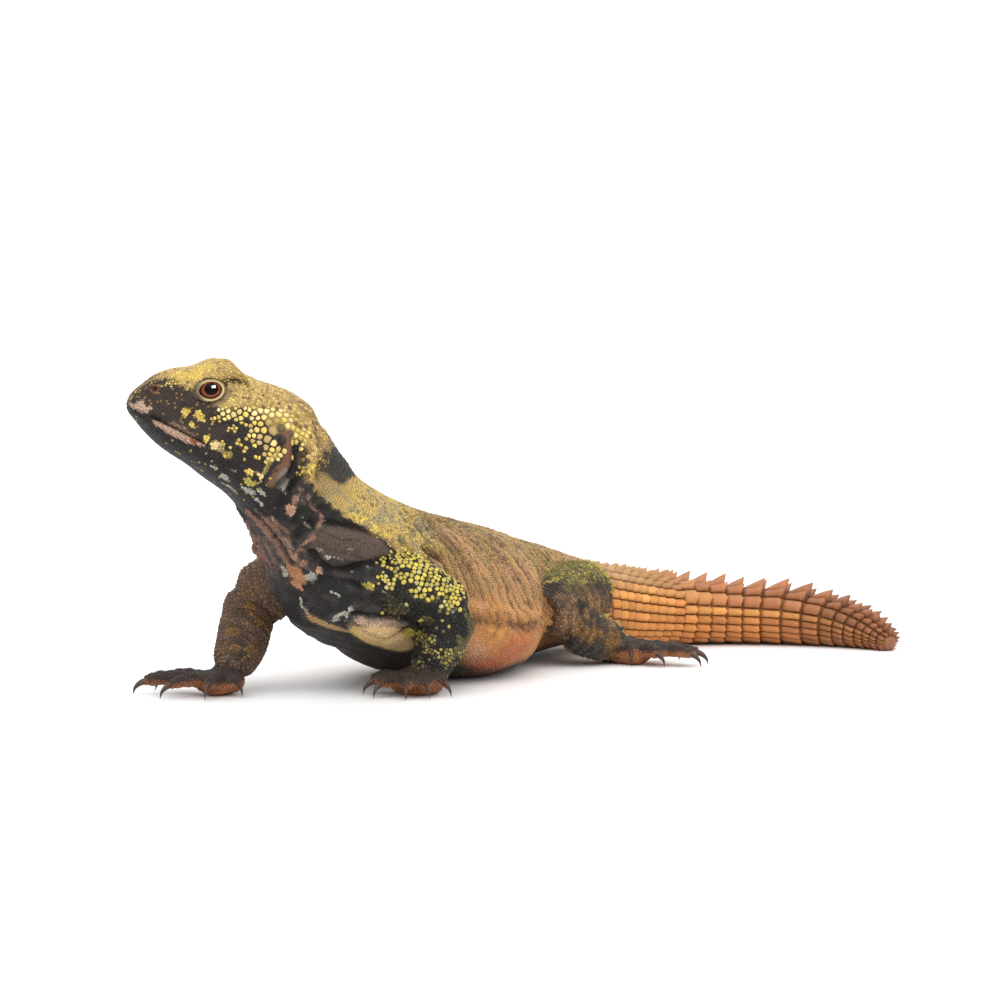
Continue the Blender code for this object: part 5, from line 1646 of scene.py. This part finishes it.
def eyeball(side):
    left, up, ahead = headAxes
    centre = headPoint(headShape["eye"], side)
    axis = unit(left * side + ahead * eyeLook["turn"] + up * eyeLook["raise"])
    x = unit(np.cross(up, axis))
    y = np.cross(axis, x)
    polar = np.concatenate([np.linspace(0.04, 0.95, 30), np.linspace(1.05, 3.0, 12)])
    ring = circle(48)
    radius = headShape["eyeRadius"] + eyeLook["bulge"] * bell(polar / 0.45)
    wide = radius * np.sin(polar)
    middles = centre + (radius * np.cos(polar))[:, None] * axis
    points, faces = tubeSurface(ovals(middles, x[None], y[None], wide, wide, ring))
    tilt = side * math.radians(headShape["openingTilt"])
    oval = 1 + eyeLook["flatten"] * np.sin(ring - tilt) ** 2
    far = np.concatenate([(wide[:, None] * oval).ravel(), [0.0, 0.0]])
    front = np.concatenate([np.repeat(polar < 1.5, 48), [True, False]])
    ray = cloud(points, 0.35, 71)  # streaks in the iris
    pupil, bright, iris = eyeLook["pupil"], eyeLook["ring"], eyeLook["iris"]
    c = mixed(tint["eyeBlack"], tint["iris"], ramp(far, pupil, pupil + 0.2))
    c = mixed(c, tint["irisRing"], bell((far - bright) / 0.11) * (0.6 + 0.5 * ray))
    shade = tint["irisEdge"] * (0.7 + 0.6 * ray[:, None])
    c = mixed(c, shade, ramp(far, bright + 0.1, bright + 0.3))
    c = mixed(c, tint["eyeRim"], ramp(far, iris, iris + 0.2))
    c[~front] = tint["eyeRim"]
    name = "eyeball_left" if side > 0 else "eyeball_right"
    obj = makeObject(name, points, faces, eyeFinish)
    setColour(obj.data, c)
    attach(obj, "root")
    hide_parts("eye_left" if side > 0 else "eye_right")


lidLook = {
    "seed": 17, "steps": 22, "around": 96, "outer": 1.52, "crease": 0.6,
    "scaleRows": (4, 8, 12, 15, 18), "scaleRadius": 0.22, "scaleHeight": 0.1,
    # shade by the share of the way from the wet edge to the skin
    "shadeAt": (
        [0, 0.04, 0.08, 0.25, 0.42, 0.52, 0.6, 0.72, 1],
        [0.15, 0.6, 1.1, 1.15, 1, 0.7, 0.45, 0.8, 1],
    ),
}


def lid(side):
    # rings of folded lid skin from the wet edge at the eyeball out to the skin round the orbit
    left, up, ahead = headAxes
    centre = headPoint(headShape["eye"], side)
    t = np.linspace(0, 1, lidLook["steps"])
    ring = circle(lidLook["around"])
    share = 1.0 + (lidLook["outer"] - 1.0) * t
    x = (headShape["opening"][0] * share)[:, None] * np.cos(ring)
    y = (headShape["opening"][1] * share)[:, None] * np.sin(ring)
    # corners of the opening are drawn out, fore and aft
    y = y * (1 - 0.12 * np.cos(ring) ** 4)
    along, across = openingTurn(ahead, up)
    shift = headShape["openingAhead"]
    flat = centre + (x[..., None] * along + y[..., None] * across) + ahead * shift
    # how far out the skin lies under each point, seen from the side
    hits = []
    for p in flat.reshape(-1, 3):
        hit = bvh.ray_cast(Vector(p + left * side * 14.0), Vector(-left * side))
        hits.append(hit[0] if hit[0] is not None else Vector(p))
    depth = ((np.array(hits) - centre) @ (left * side)).reshape(x.shape)
    shiftX, shiftY = openingTurn(shift, 0.0)
    x, y = x + shiftX, y + shiftY
    ball = np.sqrt(np.clip((headShape["eyeRadius"] + 0.2) ** 2 - x**2 - y**2, 0.4, None))
    # from the edge, which touches the ball, the lid rises to a slightly larger sphere; further
    # out it joins the skin
    big = np.sqrt(np.clip((headShape["lidRadius"] - 0.3) ** 2 - x**2 - y**2, 0.2, None))
    w = ramp(t, 0.0, 0.16)[:, None]
    surface = ball * (1 - w) + big * w
    w = ramp(t, 0.35, 0.88)[:, None]
    surface = surface * (1 - w) + (depth + 0.05) * w
    fold = 0.13 * np.sin(2 * math.pi * (t[:, None] * 2.2 + 0.12 * np.sin(3 * ring)))
    fold = fold * ramp(t, 0.08, 0.3)[:, None] * ramp(t, 1.0, 0.75)[:, None]
    fold = fold - 0.3 * bell((t - lidLook["crease"]) / 0.1)[:, None]
    surface = surface + fold - 0.5 * ramp(t, 0.93, 1.0)[:, None]
    outer = flat + surface[..., None] * (left * side)
    inner = flat + (surface - 0.5 - 0.6 * t[:, None])[..., None] * (left * side)
    return outer, inner, t, ring


def lidPieces(side):
    outer, inner, t, ring = lid(side)
    rows, columns = len(t), len(ring)
    points = np.concatenate([outer.reshape(-1, 3), inner.reshape(-1, 3)])
    top = gridFaces(rows, columns)
    bottom = top[:, ::-1] + rows * columns
    k = np.arange(columns)
    n = (k + 1) % columns
    base = rows * columns
    inside = np.stack([n, k, base + k, base + n], -1)
    last = (rows - 1) * columns
    outside = np.stack([last + k, last + n, base + last + n, base + last + k], -1)
    faces = np.concatenate([top, bottom, inside, outside])
    sample = np.cross(
        points[faces[0][1]] - points[faces[0][0]], points[faces[0][2]] - points[faces[0][0]]
    )
    if sample @ (headAxes[0] * side) < 0:
        faces = faces[:, ::-1]
    name = "lids_left" if side > 0 else "lids_right"
    obj = makeObject(name, points, faces, lidFinish)
    shade = np.interp(t, *lidLook["shadeAt"])
    around = anatomy(outer.reshape(-1, 3))
    # pale below and behind, darker towards the snout, olive above
    c = mixed(tint["lid"], tint["orbit"] * 0.45, ramp(np.cos(ring), 0.35, 0.95) * 0.8)
    c = np.tile(mixed(c, tint["olive"], ramp(np.sin(ring), 0.3, 0.9) * 0.6), (rows, 1))
    c = mixed(c, markings(around), np.repeat(ramp(t, 0.5, 0.8), columns))
    c = c * np.repeat(shade, columns)[:, None]
    # the inner sheet, against the eyeball, is painted at half brightness, as shade
    c = np.concatenate([c, c * 0.5])
    c *= (0.85 + 0.3 * fractal(points, 1.2, 81))[:, None]
    setColour(obj.data, c)
    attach(obj, "root")
    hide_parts("head")
    # rows of tiny scales along the lids, more of them in each wider row
    normals = unit(np.cross(
        np.roll(outer, -1, 1) - np.roll(outer, 1, 1), np.gradient(outer, axis=0)
    ))
    normals *= np.sign((normals @ (headAxes[0] * side)).mean())
    spots = []
    for row, i in enumerate(lidLook["scaleRows"]):
        count = 44 + 5 * row
        at = (np.arange(count) + 0.5 * (row % 2)) / count * columns
        spots.append(i * columns + (at.astype(int) % columns))
    spots = np.concatenate(spots)
    places, way = outer.reshape(-1, 3)[spots], normals.reshape(-1, 3)[spots]
    centre = headPoint(headShape["eye"], side)
    d, count = places - centre, len(spots)
    info = {
        "part": np.zeros(count, int), "side": np.full(count, side),
        # distance and girth near the eye, for the place on the unwrap
        "s": headShape["eye"][0] - d @ headAxes[2], "g": 0.289 - (d @ headAxes[1]) / 40,
        "rear": unit(d - (d * way).sum(-1)[:, None] * way), "xyz": places, "normal": way,
        "radius": np.full(count, lidLook["scaleRadius"]), "gap": np.full(count, coatLook["gap"]),
    }
    cells(info)
    random = np.random.default_rng(lidLook["seed"])
    colour = c[spots] * (1.1 * (0.9 + 0.2 * random.random(count)))[:, None]
    flat = np.full(count, lidLook["scaleHeight"])
    # the tiny scales' roots are painted at half brightness, as shade in the grooves
    scaleCoat(
        name + "_scales", info, colour, colour * 0.5, flat, 0 * flat, 0.3 * flat, 6,
        lidFinish,
    )


for side in (1, -1):
    eyeball(side)
    lidPieces(side)


def claws(limbName, nodeStart, name):
    surfaces, shades = [], []
    for digit in digitTables[limbName]:
        path, cut = digitLine(digit)
        at = np.linspace(cut - 1.2, path[-1, 0], 14)
        share = np.clip((at - cut) / (path[-1, 0] - cut), 0, 1)
        radius = toeShape["clawRadius"] * np.clip(1 - share**1.3, 0.03, 1)
        centre, left, up, _ = frames(path, at, 0.3)
        rings = ovals(centre, left, up, toeShape["clawWidth"] * radius, radius, circle(14))
        rings[..., 2] = np.maximum(rings[..., 2], 0.05)
        surfaces.append(tubeSurface(rings))
        shade = np.concatenate([np.repeat(1.15 - 0.6 * share, 14), [1.0, 0.5]])
        shades.append(tint["claw"] * shade[:, None])
    points, faces = join(surfaces)
    obj = makeObject(name, points, faces, clawFinish)
    setColour(obj.data, np.concatenate(shades))
    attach(obj, "root")
    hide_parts(*[nodeStart + "_%d" % (i + 1) for i in range(5)])


for limbName, nodeStart in {
    "handLeft": "claw_hand_left", "handRight": "claw_hand_right",
    "footLeft": "claw_foot_left", "footRight": "claw_foot_right",
}.items():
    claws(limbName, nodeStart, nodeStart.replace("claw_", "claws_"))
print("eyes and claws")

setColour(skin.data, skinColour * skinLook["shadow"])
flesh = [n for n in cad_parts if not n.startswith(("eye", "claw"))]
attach(skin, "root")
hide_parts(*flesh)

# studio: pale floor, soft light, camera
scene = bpy.context.scene
scene.view_settings.view_transform = "Standard"
white = bpy.data.materials.new("white_paper")
white.use_nodes = True
paper = white.node_tree.nodes["Principled BSDF"]
paper.inputs["Base Color"].default_value = (0.93, 0.93, 0.93, 1)
paper.inputs["Roughness"].default_value = 0.55
paper.inputs["Specular IOR Level"].default_value = 0.2
floorPoints = [(-4000, -4000, 0), (4000, -4000, 0), (4000, 6000, 0), (-4000, 6000, 0)]
floor = makeObject("floor", floorPoints, [(0, 1, 2, 3)], white, smooth=False)
world = bpy.data.worlds.new("studio")
scene.world = world
world.use_nodes = True
sky = world.node_tree
# a white tent: brightest overhead and on the key side, white behind the lizard, dimmer in front
tent = {"base": 0.38, "above": 0.92, "key": 1.55, "behind": 0.80}
keyWay, backWay = (0.55, -0.45, 0.70), (-0.53, 0.85, 0.0)
way = addNode(sky, "ShaderNodeTexCoord").outputs["Generated"]
upward = addNode(sky, "ShaderNodeSeparateXYZ", {"Vector": way}).outputs["Z"]


def lobe(value, low, high, amount):
    return addNode(sky, "ShaderNodeMapRange", {
        "Value": value, "From Min": low, "From Max": high, "To Min": 0.0, "To Max": amount,
    }, interpolation_type="SMOOTHSTEP").outputs["Result"]


def toward(direction):
    return addNode(
        sky, "ShaderNodeVectorMath", {0: way, 1: direction}, operation="DOT_PRODUCT"
    ).outputs["Value"]


glow = lobe(upward, 0.15, 0.85, tent["above"])
keyGlow = lobe(toward(keyWay), 0.6, 0.97, tent["key"])
backGlow = lobe(toward(backWay), 0.6, 0.9, tent["behind"])
for more in (keyGlow, backGlow, tent["base"]):
    glow = addNode(sky, "ShaderNodeMath", {0: glow, 1: more}, operation="ADD").outputs["Value"]
sky.nodes["Background"].inputs["Color"].default_value = (1, 1, 1, 1)
sky.links.new(glow, sky.nodes["Background"].inputs["Strength"])


def softLight(name, place, aim, size, power):
    light = bpy.data.lights.new(name, "AREA")
    light.shape = "RECTANGLE"
    light.size, light.size_y = size
    light.energy = power
    obj = bpy.data.objects.new(name, light)
    scene.collection.objects.link(obj)
    obj.location = place
    obj.rotation_mode = "QUATERNION"
    obj.rotation_quaternion = (Vector(place) - Vector(aim)).to_track_quat("Z", "Y")
    return obj


# a lamp that only the eyeballs mirror: place, aim, size in m, power in W
catchlight = softLight(
    "catchlight", (0.578, -0.279, 0.50), (-0.023, -0.116, 0.089), (0.50, 0.32), 70.0
)
catchlight.visible_diffuse = False
wet = bpy.data.collections.new("eyeballs")
for name in ("eyeball_left", "eyeball_right"):
    wet.objects.link(bpy.data.objects[name])
catchlight.light_linking.receiver_collection = wet

# camera: lens and sensor in mm, place in m, degrees to the lizard's left and downwards
cameraLook = {
    "lens": 108, "sensor": 36, "place": (0.4944, -0.7953, 0.108),
    "turn": math.radians(31.8), "fall": math.atan(176 / 3000),
}
camera = bpy.data.cameras.new("camera")
camera.lens = cameraLook["lens"]
camera.sensor_width = cameraLook["sensor"]
cameraObject = bpy.data.objects.new("camera", camera)
scene.collection.objects.link(cameraObject)
cameraObject.location = cameraLook["place"]
turn, fall = cameraLook["turn"], cameraLook["fall"]
view = Vector((
    -math.sin(turn) * math.cos(fall), math.cos(turn) * math.cos(fall), -math.sin(fall),
))
cameraObject.rotation_mode = "QUATERNION"
cameraObject.rotation_quaternion = view.to_track_quat("-Z", "Y")
scene.camera = cameraObject
